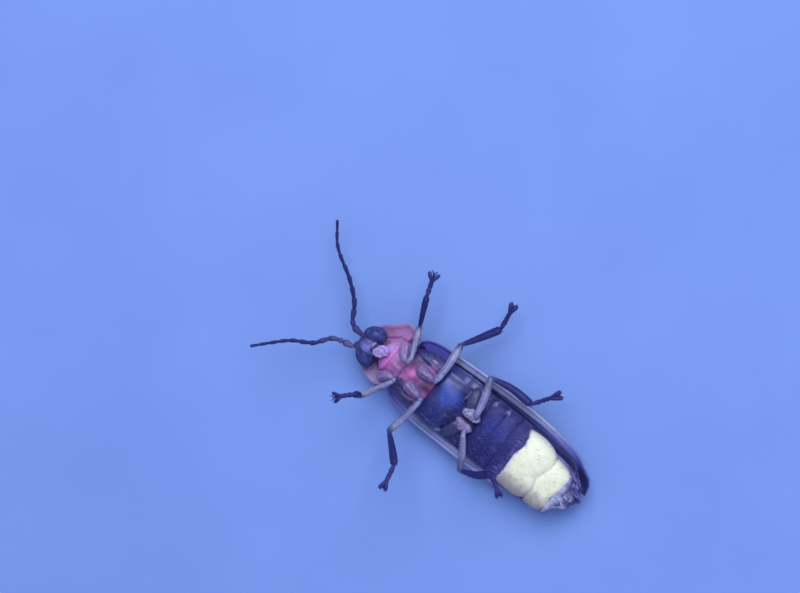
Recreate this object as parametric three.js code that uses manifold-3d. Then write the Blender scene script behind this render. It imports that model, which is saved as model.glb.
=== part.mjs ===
// A male firefly at life size, lying on its back with its legs held as in a walk.
// Millimetres. +X runs from the tail to the head, +Y is the insect's own right side and +Z its underside.
// The flattened backs of the two wing cases rest on the floor at z = 0.
import * as THREE from "three";
import { mergeVertices } from "three/addons/utils/BufferGeometryUtils.js";
import Module from "manifold-3d";

const wasm = await Module();
wasm.setup();

// Driving sizes
const GAP = 0.12; // clear space between neighbouring pieces
const CLEAR = 0.18; // clear space between the trunk and the shells over its back
const SHELL = 0.5; // thickness of the wing cases and of the pronotum
const LEG_RADIUS = 0.25; // the stoutest part of a femur or tibia
const AROUND = 28; // faces round the body

// The wing cases together, seen from above: a long oval with square shoulders
const CASES = {
  base: 4.62,
  tip: -6.04,
  half: 2.12, // half their joint width
  shoulder: 4.68, // where the shoulder's curve reaches the midline
  shoulderSquare: 5,
  taper: 0.014, // narrowing per millimetre towards the shoulders
  tail: 6.08,
  tailSquare: 2.6,
  rim: 1.1, // height of the outer edge
  flat: 0.42, // share of the half width that lies flat
  sway: 0.035, // the pair is turned this much to the body, as a slope
  swayCentre: -0.8,
  tipCurve: { from: 3.5, length: 2.55, lift: 0.9, power: 1.8 }, // the back rises towards the tip
  shoulderCurve: { from: 3.5, lift: 0.22, power: 2 }, // and a little towards the shoulders
  rimCurve: { from: 4.5, lift: 0.12, power: 1 }, // the rim rises towards the tip
  notchCurve: { from: 5.4, length: 0.65, lift: 0.25, power: 2 }, // the inner corners are rounded there
};

// The pronotum, the shield over the head
const SHIELD = {
  base: 4.74,
  front: 6.72,
  widest: 5.25,
  half: 1.68,
  baseHalf: 1.5,
  centre: 0.12,
  turn: 0.07,
  back: 0.16,
  rim: 1.15,
  flat: 0.3,
  frontPast: 0.06, // the front curve would close this far past the front edge
  frontSquare: 2.1,
  backCurve: { from: 5.5, lift: 0.1, power: 2 }, // the back rises towards the front
  rimCurve: { from: 5.25, lift: 0.26, power: 1.5 }, // while the rim falls
};
const THIN_SHARE = 0.6; // near a pointed end a shell keeps this share of its half width as wall
const ARCH_POWER = 1.9; // how a shell rises from its flat middle to its rim

// The trunk's underside, station by station: place along X, middle in Y, half width, height, squareness
const TRUNK = [
  [4.4, 0.1, 1.22, 1.95, 2.4],
  [3.9, 0.08, 1.36, 1.98, 2.4],
  [3.0, 0.05, 1.5, 2.0, 2.3],
  [2.74, 0.04, 1.56, 2.32, 2.5],
  [1.62, 0.02, 1.6, 2.36, 2.5],
  [1.3, 0.02, 1.6, 1.88, 2.1],
  [0.2, 0.02, 1.58, 1.9, 2.1],
  [-0.6, 0.02, 1.58, 2.08, 2.2],
  [-2.0, 0.03, 1.56, 2.24, 2.5],
  [-2.9, 0.04, 1.6, 2.28, 2.6],
  [-3.75, 0.1, 1.48, 2.2, 2.5],
  [-4.4, 0.15, 1.4, 2.12, 2.4],
  [-5.0, 0.16, 1.28, 2.0, 2.3],
  [-5.08, 0.16, 0.8, 1.86, 2.2],
  [-5.6, 0.16, 0.42, 1.6, 2.2],
];
const TRUNK_MIDDLE = 1.45; // height of the widest line of the trunk
const TRUNK_BACK = 0.62; // height of its hidden back

// The trunk's pieces, front edge and rear edge along X
const TRUNK_PIECES = {
  mesothorax: { front: 4.38, rear: 2.86, colour: "rose" },
  metathorax: { front: 2.74, rear: 0.26, colour: "dark" },
  sternite_3: { front: 0.14, rear: -0.58, colour: "dark" },
  sternite_4: { front: -0.7, rear: -1.28, colour: "dark" },
  sternite_5: { front: -1.4, rear: -1.98, colour: "dark" },
  light_organ_front: { front: -2.1, rear: -3.7, colour: "organ", bulge: 0.12 },
  light_organ_rear: { front: -3.82, rear: -4.98, colour: "organ", bulge: 0.1, notch: 0.16 },
  tail_tip: { front: -5.1, rear: -5.58, colour: "tail", bulge: 0.2 },
};
const NOTCH_WIDTH = 0.4; // of the notch in the last light organ's rear edge
const SECTION_SHARES = [0, 0.05, 0.18, 0.4, 0.62, 0.84, 0.96, 1]; // where a piece's sections lie
const EDGE = { narrow: 0.05, narrowPower: 16, drop: 0.12, dropPower: 12, bulge: 0.04, bulgePower: 3 };

const PROSTERNUM = {
  stations: [4.5, 4.6, 5.0, 5.35, 5.52, 5.68],
  half: [0.85, 0.98, 1.0, 0.85, 0.6, 0.5],
  top: [1.85, 2.02, 2.08, 2.0, 1.85, 1.75],
  centre: 0.18,
  middle: 1.4,
  bottom: 0.82,
  square: 2.4,
};

const HEAD = {
  centre: [6.42, 0.31, 1.52],
  radii: [0.56, 0.74, 0.64],
  turn: 10, // degrees towards the insect's right
  eyeRadius: 0.46,
  eyeApart: 0.72, // from the middle of the head to the middle of an eye
  eyeHeight: 0.1,
};

const MOUTH = { centre: [5.98, 0.2, 2.24], radii: [0.3, 0.3, 0.2] };
const PALP = { radii: [0.2, 0.12, 0.12], centre: [5.82, 0.18, 2.36], apart: 0.26, turn: 0.5 };

const ANTENNA = {
  segments: 11,
  scapeShare: 0.14,
  pedicelShare: 0.05,
  rootRadius: 0.2,
  radius: 0.24,
  tipRadius: 0.15,
  waist: 0.72, // how thin a segment starts, as a share of its thickest place
  thickest: 0.7, // and how far along it that place lies
  end: 0.9,
  sunk: 0.06, // how deep each segment starts inside the one before
  cap: 0.02,
  sides: 8,
};
const ANTENNA_ROUTES = {
  left: [
    [7.1, 0.16, 1.66],
    [7.7, 0.0, 1.68],
    [8.3, -0.85, 1.6],
    [9.2, -1.6, 1.56],
    [10.5, -2.4, 1.54],
    [11.35, -3.43, 1.53],
  ],
  right: [
    [7.12, 0.82, 1.8],
    [8.0, 1.1, 1.95],
    [8.6, 1.8, 2.25],
    [9.5, 2.3, 2.6],
    [10.2, 2.95, 2.95],
    [10.8, 3.55, 3.29],
  ],
};

// Each leg: where its coxa ends, then for femur, tibia and tarsus the length,
// the turn forwards from straight out sideways and the rise above level, in degrees
const LEGS = {
  front: {
    hip: [4.5, 0.62, 2.6],
    left: [[1.77, 27.4, -37.1], [1.85, 22.8, 22.9], [1.25, 21.3, -14]],
    right: [[1.91, 24.9, -6], [1.67, 149.7, 72.8], [1.17, 39.8, -3.4]],
  },
  middle: {
    hip: [2.95, 0.55, 2.5],
    left: [[2.13, 4.8, -20], [2.05, -28.2, 0.5], [1.4, 10.4, -4.4]],
    right: [[2.21, 6.5, 0.2], [2.0, -61.3, 49.1], [1.34, -13.7, 18.9]],
  },
  hind: {
    hip: [0.45, 0.5, 2.5],
    left: [[1.96, 19, -20.2], [2.28, -81.3, 12.2], [1.57, -32.8, -3.5]],
    right: [[1.96, -32.6, -6.7], [2.12, -136.8, 37.5], [1.17, -59.2, 4.8]],
  },
};
const LEG_SIDES = 10;
const FEMUR_RADII = [0.64, 0.88, 1, 1, 0.92, 0.85]; // shares of the leg's radius, from hip to knee
const TIBIA_RADII = [0.72, 0.88, 0.92, 0.96, 0.92];
const ROD_END = 0.3; // how far along its end's radius a rod is already 0.7 of that radius
const ROD_END_RADIUS = 0.7;

// The coxae: round lobes that lie on the thorax, as radii, place and turn
const COXAE = {
  front: [{ radii: [0.36, 0.25, 0.24], x: 5.04, y: 0.44, z: 2.44, turn: -0.3, shift: 0.08 }],
  middle: [{ radii: [0.38, 0.26, 0.2], x: 3.52, y: 0.44, z: 2.34, turn: -0.2, shift: 0 }],
  hind: [
    { radii: [0.32, 0.24, 0.2], x: 0.93, y: 0.33, z: 2.14, turn: 0, shift: 0 },
    { radii: [0.22, 0.6, 0.12], x: 1.02, y: 0.86, z: 2.07, turn: -0.3, shift: 0 },
  ],
};

// A foot: five parts in a row, the fourth with two lobes, and two claws at the end
const TARSUS = {
  shares: [0.3, 0.18, 0.15, 0.13, 0.24], // lengths of the parts
  radius: 0.23,
  taper: 0.015, // each part is this much thinner than the one before
  lastRadius: 0.11,
  waist: 0.6,
  thickest: 0.75,
  sunk: 0.05,
  sides: 7,
  lobe: { part: 3, radii: [0.24, 0.1, 0.09], ahead: 0.08, apart: 0.15, below: 0.05, turn: 0.35 },
  claw: { profile: [[-0.05, 0], [-0.03, 0.07], [0.1, 0.05], [0.2, 0]], sides: 5, turn: 0.6, back: 0.06 },
};

const COLOURS = {
  case: 0x1d1820,
  rose: 0xc9808a,
  dark: 0x17161f,
  organ: 0xf3f0dc,
  tail: 0xa9a79c,
  pale: 0xb8a68e,
  limb: 0x2a2630,
  eye: 0x0c0b10,
  face: 0x57525e,
};

const { degToRad, lerp, clamp } = THREE.MathUtils;
const SIDES = { left: -1, right: 1 };
const rounded = (share, power) => Math.max(0, 1 - Math.abs(share) ** power) ** (1 / power);
const material = (name) =>
  new THREE.MeshStandardMaterial({ color: COLOURS[name], roughness: 0.45, metalness: 0 });

// Turns a geometry's triangles over if they face inwards, and joins its shared corners
function closed(geometry) {
  geometry.deleteAttribute("normal");
  geometry.deleteAttribute("uv");
  const made = mergeVertices(geometry, 1e-4);
  const corner = [0, 1, 2].map(() => new THREE.Vector3());
  let volume = 0;
  for (let i = 0; i < made.index.count; i += 3) {
    corner.forEach((c, k) => c.fromBufferAttribute(made.attributes.position, made.index.getX(i + k)));
    volume += corner[0].dot(corner[1].clone().cross(corner[2]));
  }
  if (volume < 0) {
    const { array } = made.index;
    for (let i = 0; i < array.length; i += 3) [array[i], array[i + 1]] = [array[i + 1], array[i]];
  }
  made.computeVertexNormals();
  return made;
}

function solidOf(geometry) {
  const made = closed(geometry);
  return new wasm.Manifold(
    new wasm.Mesh({
      numProp: 3,
      vertProperties: new Float32Array(made.attributes.position.array),
      triVerts: new Uint32Array(made.index.array),
    }),
  );
}

// Back from a solid to a geometry, keeping only its largest closed surface
function geometryOf(solid) {
  const [largest] = solid.decompose().sort((a, b) => b.volume() - a.volume());
  const mesh = largest.getMesh();
  const made = new THREE.BufferGeometry();
  made.setAttribute("position", new THREE.BufferAttribute(new Float32Array(mesh.vertProperties), 3));
  made.setIndex(new THREE.BufferAttribute(new Uint32Array(mesh.triVerts), 1));
  made.computeVertexNormals();
  return made;
}

const fused = (pieces) => geometryOf(pieces.map(solidOf).reduce((a, b) => a.add(b)));
const carved = (body, tools) =>
  geometryOf(tools.map(solidOf).reduce((a, b) => a.subtract(b), solidOf(body)));

// A value read off a table of stations, straight between neighbours
function between(stations, x, column) {
  const next = stations.findIndex((row) => row[0] <= x);
  if (next < 0) return stations.at(-1)[column];
  if (next === 0) return stations[0][column];
  const [a, b] = [stations[next - 1], stations[next]];
  return lerp(a[column], b[column], (a[0] - x) / (a[0] - b[0]));
}

// A closed body through sections that follow one another along X
function loft(sections, adjust = (point) => point) {
  const shape = new THREE.CylinderGeometry(1, 1, 1, AROUND, sections.length - 1);
  const place = shape.getAttribute("position");
  const squared = (share, power) => Math.sign(share) * Math.abs(share) ** (2 / power);
  const point = new THREE.Vector3();
  for (let i = 0; i < place.count; i++) {
    const s = sections[Math.round((0.5 - place.getY(i)) * (sections.length - 1))];
    const [out, high] = [place.getZ(i), place.getX(i)];
    const height = high > 0 ? s.top - s.middle : s.middle - s.bottom;
    point.set(s.x, s.y + s.half * squared(out, s.square), s.middle + height * squared(high, s.square));
    adjust(point);
    place.setXYZ(i, point.x, point.y, point.z);
  }
  return closed(shape);
}

// A closed curved plate: the outer and the inner face are split into triangles alike
function plate(outer, inner, along, across) {
  const points = [outer, inner].flatMap((face) =>
    Array.from({ length: (along + 1) * (across + 1) }, (_, i) =>
      face(Math.floor(i / (across + 1)) / along, (i % (across + 1)) / across),
    ),
  );
  const count = (along + 1) * (across + 1);
  const at = (row, column) => row * (across + 1) + column;
  const index = [];
  const quad = (a, b, c, d) => index.push(a, b, c, a, c, d);
  for (let row = 0; row < along; row++)
    for (let column = 0; column < across; column++) {
      const [a, b] = [at(row, column), at(row + 1, column)];
      quad(a, b, b + 1, a + 1);
      quad(a + count, a + count + 1, b + count + 1, b + count);
    }
  // the wall round the edge
  const edge = [];
  for (let row = 0; row < along; row++) edge.push(at(row, 0));
  for (let column = 0; column < across; column++) edge.push(at(along, column));
  for (let row = along; row > 0; row--) edge.push(at(row, across));
  for (let column = across; column > 0; column--) edge.push(at(0, column));
  edge.forEach((a, i) => {
    const b = edge[(i + 1) % edge.length];
    quad(b, a, a + count, b + count);
  });
  const made = new THREE.BufferGeometry().setFromPoints(points);
  made.setIndex(index);
  return closed(made);
}

// How high a shell stands over its flat middle, by the share of its half width
const arch = (share, flat) => Math.max(0, (share - flat) / (1 - flat)) ** ARCH_POWER;

// A curve that starts level at a place and lifts away from there
const lifted = (x, { from, length = 1, lift, power }) => lift * (Math.max(0, x - from) / length) ** power;

const caseHalf = (x) =>
  CASES.half *
  (x > 0
    ? rounded(x / CASES.shoulder, CASES.shoulderSquare) * (1 - CASES.taper * x)
    : rounded(-x / CASES.tail, CASES.tailSquare));
const caseCentre = (x) => CASES.sway * (x - CASES.swayCentre);
const caseBack = (x) => lifted(-x, CASES.tipCurve) + lifted(x, CASES.shoulderCurve);
const caseRim = (x) => CASES.rim + lifted(-x, CASES.rimCurve);
const caseNotch = (x) => GAP / 2 + lifted(-x, CASES.notchCurve);

function shieldHalf(x) {
  const { base, widest, front, frontPast, frontSquare, baseHalf, half } = SHIELD;
  if (x < widest) return lerp(baseHalf, half, Math.sin(((x - base) / (widest - base)) * (Math.PI / 2)));
  return half * rounded((x - widest) / (front + frontPast - widest), frontSquare);
}
const shieldCentre = (x) => SHIELD.centre + SHIELD.turn * (x - SHIELD.base);
const shieldBack = (x) => SHIELD.back + lifted(x, SHIELD.backCurve);
const shieldRim = (x) => SHIELD.rim - lifted(x, SHIELD.rimCurve);

// The height that the wing cases' or the pronotum's inner face reaches at a place
function liningHeight(x, y) {
  const overCases = x < (CASES.base + SHIELD.base) / 2;
  const half = overCases ? caseHalf(x) : shieldHalf(x);
  const inner = half - Math.min(SHELL, THIN_SHARE * half);
  const away = Math.abs(y - (overCases ? caseCentre(x) : shieldCentre(x)));
  const back = overCases ? caseBack(x) : shieldBack(x);
  const rim = overCases ? caseRim(x) : shieldRim(x);
  const raised = arch(Math.min(1, away / inner), overCases ? CASES.flat : SHIELD.flat);
  return lerp(back + SHELL, rim, raised);
}

// A shell such as a wing case: two faces over the same outline, the inner one drawn in from the rim
function shell({ start, end, low, high, centre, half, back, rim, flat, notch, along, across }) {
  const face = (inside) => (u, v) => {
    const x = lerp(start, end, (1 - Math.cos(Math.PI * u)) / 2);
    const share = lerp(low, high, v);
    const clear = notch(x);
    const outline = half(x);
    const reach = inside ? outline - Math.min(SHELL, THIN_SHARE * (outline - clear)) : outline;
    const away = Math.sign(share || high) * lerp(clear, reach, Math.abs(share));
    const raised = arch(Math.abs(share), flat);
    const height = lerp(back(x), rim(x), raised) + (inside ? SHELL * (1 - raised) : 0);
    return new THREE.Vector3(x, centre(x) + away, height);
  };
  return plate(face(false), face(true), along, across);
}

// A round form turned about +X from the origin, given as pairs of place and radius
function turned(profile, sides = LEG_SIDES) {
  const made = new THREE.LatheGeometry(profile.map(([x, r]) => new THREE.Vector2(r, x)), sides);
  made.rotateZ(-Math.PI / 2);
  return made;
}

// A rod with rounded ends whose radius follows the given shares along its length
function rod(length, radii, sides = LEG_SIDES) {
  const [first, last] = [radii[0], radii.at(-1)];
  const middle = radii.map((r, i) => [lerp(first, length - last, i / (radii.length - 1)), r]);
  const nearStart = [first * ROD_END, first * ROD_END_RADIUS];
  const nearEnd = [length - last * ROD_END, last * ROD_END_RADIUS];
  return turned([[0, 0], nearStart, ...middle, nearEnd, [length, 0]], sides);
}

function ball(radii, centre = [0, 0, 0], turn = 0, detail = [20, 14]) {
  const made = new THREE.SphereGeometry(1, ...detail);
  made.rotateX(Math.PI / 2);
  made.scale(...radii);
  made.rotateZ(turn);
  made.translate(...centre);
  return made;
}

const firefly = new THREE.Group();
function add(name, geometry, colour, position, direction) {
  const mesh = new THREE.Mesh(geometry, material(colour));
  mesh.name = name;
  if (position) mesh.position.copy(position);
  if (direction) mesh.quaternion.setFromUnitVectors(new THREE.Vector3(1, 0, 0), direction);
  firefly.add(mesh);
}

// Wing cases
for (const [name, side] of Object.entries(SIDES))
  add(
    `wing_case_${name}`,
    shell({
      start: CASES.base, end: CASES.tip, low: 0, high: side,
      centre: caseCentre, half: caseHalf, back: caseBack, rim: caseRim, notch: caseNotch,
      flat: CASES.flat, along: 26, across: 11,
    }),
    "case",
  );

// Pronotum
add(
  "pronotum",
  shell({
    start: SHIELD.base, end: SHIELD.front, low: -1, high: 1,
    centre: shieldCentre, half: shieldHalf, back: shieldBack, rim: shieldRim, notch: () => 0,
    flat: SHIELD.flat, along: 14, across: 20,
  }),
  "rose",
);

// Thorax and abdomen, each piece a slice of the trunk with rounded edges
const clearOfShells = (point) => {
  point.z = Math.max(point.z, liningHeight(point.x, point.y) + CLEAR);
};
function slice({ front, rear, bulge = EDGE.bulge, notch = 0 }) {
  const sections = SECTION_SHARES.map((share) => {
    const x = lerp(front, rear, share);
    const out = Math.abs(2 * share - 1);
    const edge = 1 - bulge * out ** EDGE.bulgePower - EDGE.narrow * out ** EDGE.narrowPower;
    const high = (between(TRUNK, x, 3) - TRUNK_MIDDLE) * (1 - EDGE.drop * out ** EDGE.dropPower);
    return {
      x,
      y: between(TRUNK, x, 1),
      half: between(TRUNK, x, 2) * edge,
      top: TRUNK_MIDDLE + high,
      bottom: TRUNK_BACK,
      middle: TRUNK_MIDDLE,
      square: between(TRUNK, x, 4),
    };
  });
  const length = front - rear;
  return loft(sections, (point) => {
    const toRear = clamp((front - point.x) / length, 0, 1) ** 2;
    const away = (point.y - between(TRUNK, rear, 1)) / NOTCH_WIDTH;
    point.x += notch * toRear * Math.exp(-away * away);
    clearOfShells(point);
  });
}
for (const [name, piece] of Object.entries(TRUNK_PIECES)) add(name, slice(piece), piece.colour);

// The middle of the fore body, between the pronotum and the front legs, with the neck
add(
  "prosternum",
  loft(
    PROSTERNUM.stations.map((x, i) => ({
      x,
      y: PROSTERNUM.centre,
      half: PROSTERNUM.half[i],
      top: PROSTERNUM.top[i],
      bottom: PROSTERNUM.bottom,
      middle: PROSTERNUM.middle,
      square: PROSTERNUM.square,
    })).reverse(),
    clearOfShells,
  ),
  "rose",
);

// Head with sockets for the eyes, then the eyes and the mouthparts
const headTurn = degToRad(HEAD.turn);
const [headX, headY, headZ] = HEAD.centre;
const eyeAt = (side) => [
  headX - side * HEAD.eyeApart * Math.sin(headTurn),
  headY + side * HEAD.eyeApart * Math.cos(headTurn),
  headZ + HEAD.eyeHeight,
];
const eye = (side, grow) =>
  ball(Array(3).fill(HEAD.eyeRadius + grow), eyeAt(side), headTurn, [16, 10]);
const mouth = (grow) =>
  ball(MOUTH.radii.map((r) => r + grow), MOUTH.centre, headTurn, [12, 8]);
add(
  "head",
  carved(ball(HEAD.radii, HEAD.centre, headTurn, [22, 14]), [eye(-1, GAP), eye(1, GAP), mouth(GAP)]),
  "face",
);
add("eye_left", closed(eye(-1, 0)), "eye");
add("eye_right", closed(eye(1, 0)), "eye");
const palp = (side) => {
  const [x, y, z] = PALP.centre;
  return ball(PALP.radii, [x, y + side * PALP.apart, z], side * PALP.turn, [10, 8]);
};
add("mouthparts", fused([mouth(0), palp(-1), palp(1)]), "pale");

// Antennae, each a chain of cones that widen towards the tip
function antenna(route) {
  const curve = new THREE.CatmullRomCurve3(route.map((p) => new THREE.Vector3(...p)));
  const rest = (1 - ANTENNA.scapeShare - ANTENNA.pedicelShare) / (ANTENNA.segments - 2);
  const ends = [0, ANTENNA.scapeShare, ANTENNA.scapeShare + ANTENNA.pedicelShare];
  while (ends.length <= ANTENNA.segments) ends.push(Math.min(1, ends.at(-1) + rest));
  const pieces = ends.slice(1).map((end, i) => {
    const [from, to] = [curve.getPointAt(ends[i]), curve.getPointAt(end)];
    const length = from.distanceTo(to);
    const thick = lerp(ANTENNA.radius, ANTENNA.tipRadius, (i / ANTENNA.segments) ** 2);
    const narrow = i ? thick * ANTENNA.waist : ANTENNA.rootRadius;
    const sunk = i ? ANTENNA.sunk : 0;
    const widest = [length * ANTENNA.thickest, thick];
    const tip = [[length, thick * ANTENNA.end], [length + ANTENNA.cap, 0]];
    const cone = turned([[-sunk, 0], [-sunk, narrow], widest, ...tip], ANTENNA.sides);
    const along = to.clone().sub(from).normalize();
    cone.applyQuaternion(new THREE.Quaternion().setFromUnitVectors(new THREE.Vector3(1, 0, 0), along));
    return cone.translate(from.x, from.y, from.z);
  });
  return fused(pieces);
}
for (const side of Object.keys(SIDES)) add(`antenna_${side}`, antenna(ANTENNA_ROUTES[side]), "limb");

// Legs
const direction = (side, turn, rise) => {
  const [a, b] = [degToRad(turn), degToRad(rise)];
  return new THREE.Vector3(Math.sin(a) * Math.cos(b), side * Math.cos(a) * Math.cos(b), Math.sin(b));
};

const coxa = (pair, side) =>
  fused(
    COXAE[pair].map(({ radii, x, y, z, turn, shift }) =>
      ball(radii, [x, side * y + shift, z], side * turn, [12, 8]),
    ),
  );

function tarsus(length) {
  const { lobe, claw, sunk } = TARSUS;
  const pieces = [];
  let start = 0;
  TARSUS.shares.forEach((share, i) => {
    const long = share * length;
    const wide = i < TARSUS.shares.length - 1 ? TARSUS.radius - TARSUS.taper * i : TARSUS.lastRadius;
    const root = i ? start - sunk : start;
    const widest = [start + long * TARSUS.thickest, wide];
    pieces.push(turned([[root, 0], [root, wide * TARSUS.waist], widest, [start + long, 0]], TARSUS.sides));
    start += long;
    if (i !== lobe.part) return;
    for (const side of Object.values(SIDES)) {
      const at = [start + lobe.ahead, side * lobe.apart, lobe.below];
      pieces.push(ball(lobe.radii, at, side * lobe.turn, [6, 5]));
    }
  });
  for (const side of Object.values(SIDES)) {
    const hook = turned(claw.profile, claw.sides);
    hook.rotateZ(side * claw.turn);
    pieces.push(hook.translate(length - claw.back, 0, 0));
  }
  return fused(pieces);
}

for (const [pair, leg] of Object.entries(LEGS))
  for (const [name, side] of Object.entries(SIDES)) {
    add(`coxa_${pair}_${name}`, coxa(pair, side), "pale");
    const [femur, tibia, foot] = leg[name];
    const ways = [femur, tibia, foot].map(([, turn, rise]) => direction(side, turn, rise));
    const hip = new THREE.Vector3(leg.hip[0], side * leg.hip[1], leg.hip[2]);
    const knee = hip.clone().addScaledVector(ways[0], femur[0]);
    const ankle = knee.clone().addScaledVector(ways[1], tibia[0]);
    const femurRadii = FEMUR_RADII.map((share) => share * LEG_RADIUS);
    const tibiaRadii = TIBIA_RADII.map((share) => share * LEG_RADIUS);
    const [kneeRadius, ankleRadius] = [femurRadii.at(-1), tibiaRadii.at(-1)];
    const set = (part, geometry, colour, from, way, skip) => {
      const place = from.clone().addScaledVector(way, skip);
      add(`${part}_${pair}_${name}`, closed(geometry), colour, place, way);
    };
    const tibiaStart = kneeRadius + GAP;
    const footStart = ankleRadius + GAP;
    set("femur", rod(femur[0] + kneeRadius, femurRadii), "pale", hip, ways[0], 0);
    set("tibia", rod(tibia[0] - tibiaStart + ankleRadius, tibiaRadii), "limb", knee, ways[1], tibiaStart);
    set("tarsus", tarsus(foot[0] - footStart), "limb", ankle, ways[2], footStart);
  }

// The origin lies on the floor below the middle of the whole animal's box
firefly.updateMatrixWorld(true);
const middle = new THREE.Box3().setFromObject(firefly).getCenter(new THREE.Vector3());
firefly.position.set(-middle.x, -middle.y, 0);

export default firefly;
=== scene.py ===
"""The looks of a male firefly that lies on its back with its legs held as in a walk."""
import math

import bpy
import numpy as np
from mathutils import Matrix, Vector, noise


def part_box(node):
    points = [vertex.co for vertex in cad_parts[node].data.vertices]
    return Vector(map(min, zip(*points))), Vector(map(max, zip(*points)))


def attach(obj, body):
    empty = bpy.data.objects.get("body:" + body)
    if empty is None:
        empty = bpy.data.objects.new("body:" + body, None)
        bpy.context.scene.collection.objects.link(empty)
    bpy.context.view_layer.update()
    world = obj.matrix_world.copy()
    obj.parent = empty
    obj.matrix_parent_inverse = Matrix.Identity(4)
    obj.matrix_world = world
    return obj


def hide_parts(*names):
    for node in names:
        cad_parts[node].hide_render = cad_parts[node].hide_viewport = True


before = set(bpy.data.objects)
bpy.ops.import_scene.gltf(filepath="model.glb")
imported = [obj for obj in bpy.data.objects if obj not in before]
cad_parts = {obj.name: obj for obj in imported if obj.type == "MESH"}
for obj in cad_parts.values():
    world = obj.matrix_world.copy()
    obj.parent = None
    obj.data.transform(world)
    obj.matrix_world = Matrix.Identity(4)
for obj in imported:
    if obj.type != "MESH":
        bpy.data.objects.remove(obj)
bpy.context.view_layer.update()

# Sizes are in millimetres on the body's own axes: +X to the head, +Y to the insect's right, +Z its underside
MM = 0.001
MICRON = MM * MM

# Wing cases
CASE = dict(base=4.62, tip=-6.04, half=2.12, shoulder=4.68, square={-1: 8, 1: 5}, taper=0.014, tail=6.08,
            tail_square=2.6)
CASE_RIM = 1.1
CASE_FLAT = 0.42
CASE_SWAY, CASE_SWAY_CENTRE = 0.035, -0.8
SUTURE = 0.012  # half the gap where the two wing cases meet
CASE_WALL = 0.085
COSTAE = (0.3, 0.52, 0.74)  # where the raised lines of a wing case run, as shares of its width
MARGIN = 0.5  # width of the pale edge

# Pronotum
SHIELD = dict(base=4.74, front=6.72, widest=5.25, half=1.68, base_half=1.5, past=0.06, square=2.1)
SHIELD_CENTRE, SHIELD_TURN = 0.12, 0.07
SHIELD_BACK, SHIELD_RIM, SHIELD_FLAT = 0.16, 1.15, 0.3
SHIELD_WALL = 0.1
ARCH_POWER = 1.9
THIN_EDGE = 0.12  # a shell's wall thins to this share at its edges

# The trunk's underside: place along X, middle in Y, half width, height, squareness
TRUNK = np.array([
    (4.4, 0.1, 1.22, 1.95, 2.4), (3.9, 0.08, 1.36, 1.98, 2.4), (3.0, 0.05, 1.5, 2.0, 2.3),
    (2.74, 0.04, 1.56, 2.32, 2.5), (1.62, 0.02, 1.6, 2.36, 2.5), (1.3, 0.02, 1.6, 1.88, 2.1),
    (0.2, 0.02, 1.58, 1.9, 2.1), (-0.6, 0.02, 1.58, 2.08, 2.2), (-2.0, 0.03, 1.56, 2.24, 2.5),
    (-2.9, 0.04, 1.6, 2.28, 2.6), (-3.75, 0.1, 1.48, 2.2, 2.5), (-4.4, 0.15, 1.4, 2.12, 2.4),
    (-5.0, 0.16, 1.28, 2.0, 2.3), (-5.08, 0.16, 0.8, 1.86, 2.2), (-5.6, 0.16, 0.42, 1.6, 2.2),
])[::-1]
TRUNK_MIDDLE = 1.45

HEAD = dict(centre=(6.42, 0.31, 1.52), radii=(0.56, 0.74, 0.64), turn=10)
EYE_RADIUS, EYE_APART, EYE_HEIGHT = 0.46, 0.72, 0.1

# Feelers: the way each runs, root to tip
FEELERS = {
    "left": [(7.1, 0.16, 1.66), (7.7, 0, 1.68), (8.3, -0.85, 1.6), (9.2, -1.6, 1.56), (10.5, -2.4, 1.54),
             (11.35, -3.43, 1.53)],
    "right": [(7.12, 0.82, 1.8), (8.0, 1.1, 1.95), (8.6, 1.8, 2.25), (9.5, 2.3, 2.6), (10.2, 2.95, 2.95),
              (10.8, 3.55, 3.29)],
}

# Legs: the hip, then for femur, tibia and tarsus the length, the turn forwards and the rise, in degrees
LEGS = {
    "front": dict(hip=(4.5, 0.62, 2.6), left=((1.77, 27.4, -37.1), (1.85, 22.8, 22.9), (1.25, 21.3, -14)),
                  right=((1.91, 24.9, -6), (1.67, 149.7, 72.8), (1.17, 39.8, -3.4))),
    "middle": dict(hip=(2.95, 0.55, 2.5), left=((2.13, 4.8, -20), (2.05, -28.2, 0.5), (1.4, 10.4, -4.4)),
                   right=((2.21, 6.5, 0.2), (2.0, -61.3, 49.1), (1.34, -13.7, 18.9))),
    "hind": dict(hip=(0.45, 0.5, 2.5), left=((1.96, 19, -20.2), (2.28, -81.3, 12.2), (1.57, -32.8, -3.5)),
                 right=((1.96, -32.6, -6.7), (2.12, -136.8, 37.5), (1.17, -59.2, 4.8))),
}
SIDES = {"left": -1, "right": 1}

# Where the body's own origin lies in the solids' frame, read off the left eye
eye_low, eye_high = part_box("eye_left")
head_turn = math.radians(HEAD["turn"])


def eye_centre(side):
    x, y, z = HEAD["centre"]
    return np.array((x - side * EYE_APART * math.sin(head_turn), y + side * EYE_APART * math.cos(head_turn),
                     z + EYE_HEIGHT))


SHIFT = np.array((eye_low + eye_high) / 2) / MM - eye_centre(SIDES["left"])


# Camera, at the photo's angle: tilted from straight above the underside towards the insect's left
TILT = math.radians(15)
PIXELS_PER_MM = 21
IMAGE = (800, 593)
BODY_PIXEL = (481, 423)  # where the body's origin, at the height of the wing cases' rim, is seen
ACROSS = (-0.777, -0.629)  # the picture's right, on the body's length and on the tilted width
RISING = (0.629, -0.777)  # and its up
VIEW_ANGLE = math.radians(20)


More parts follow.
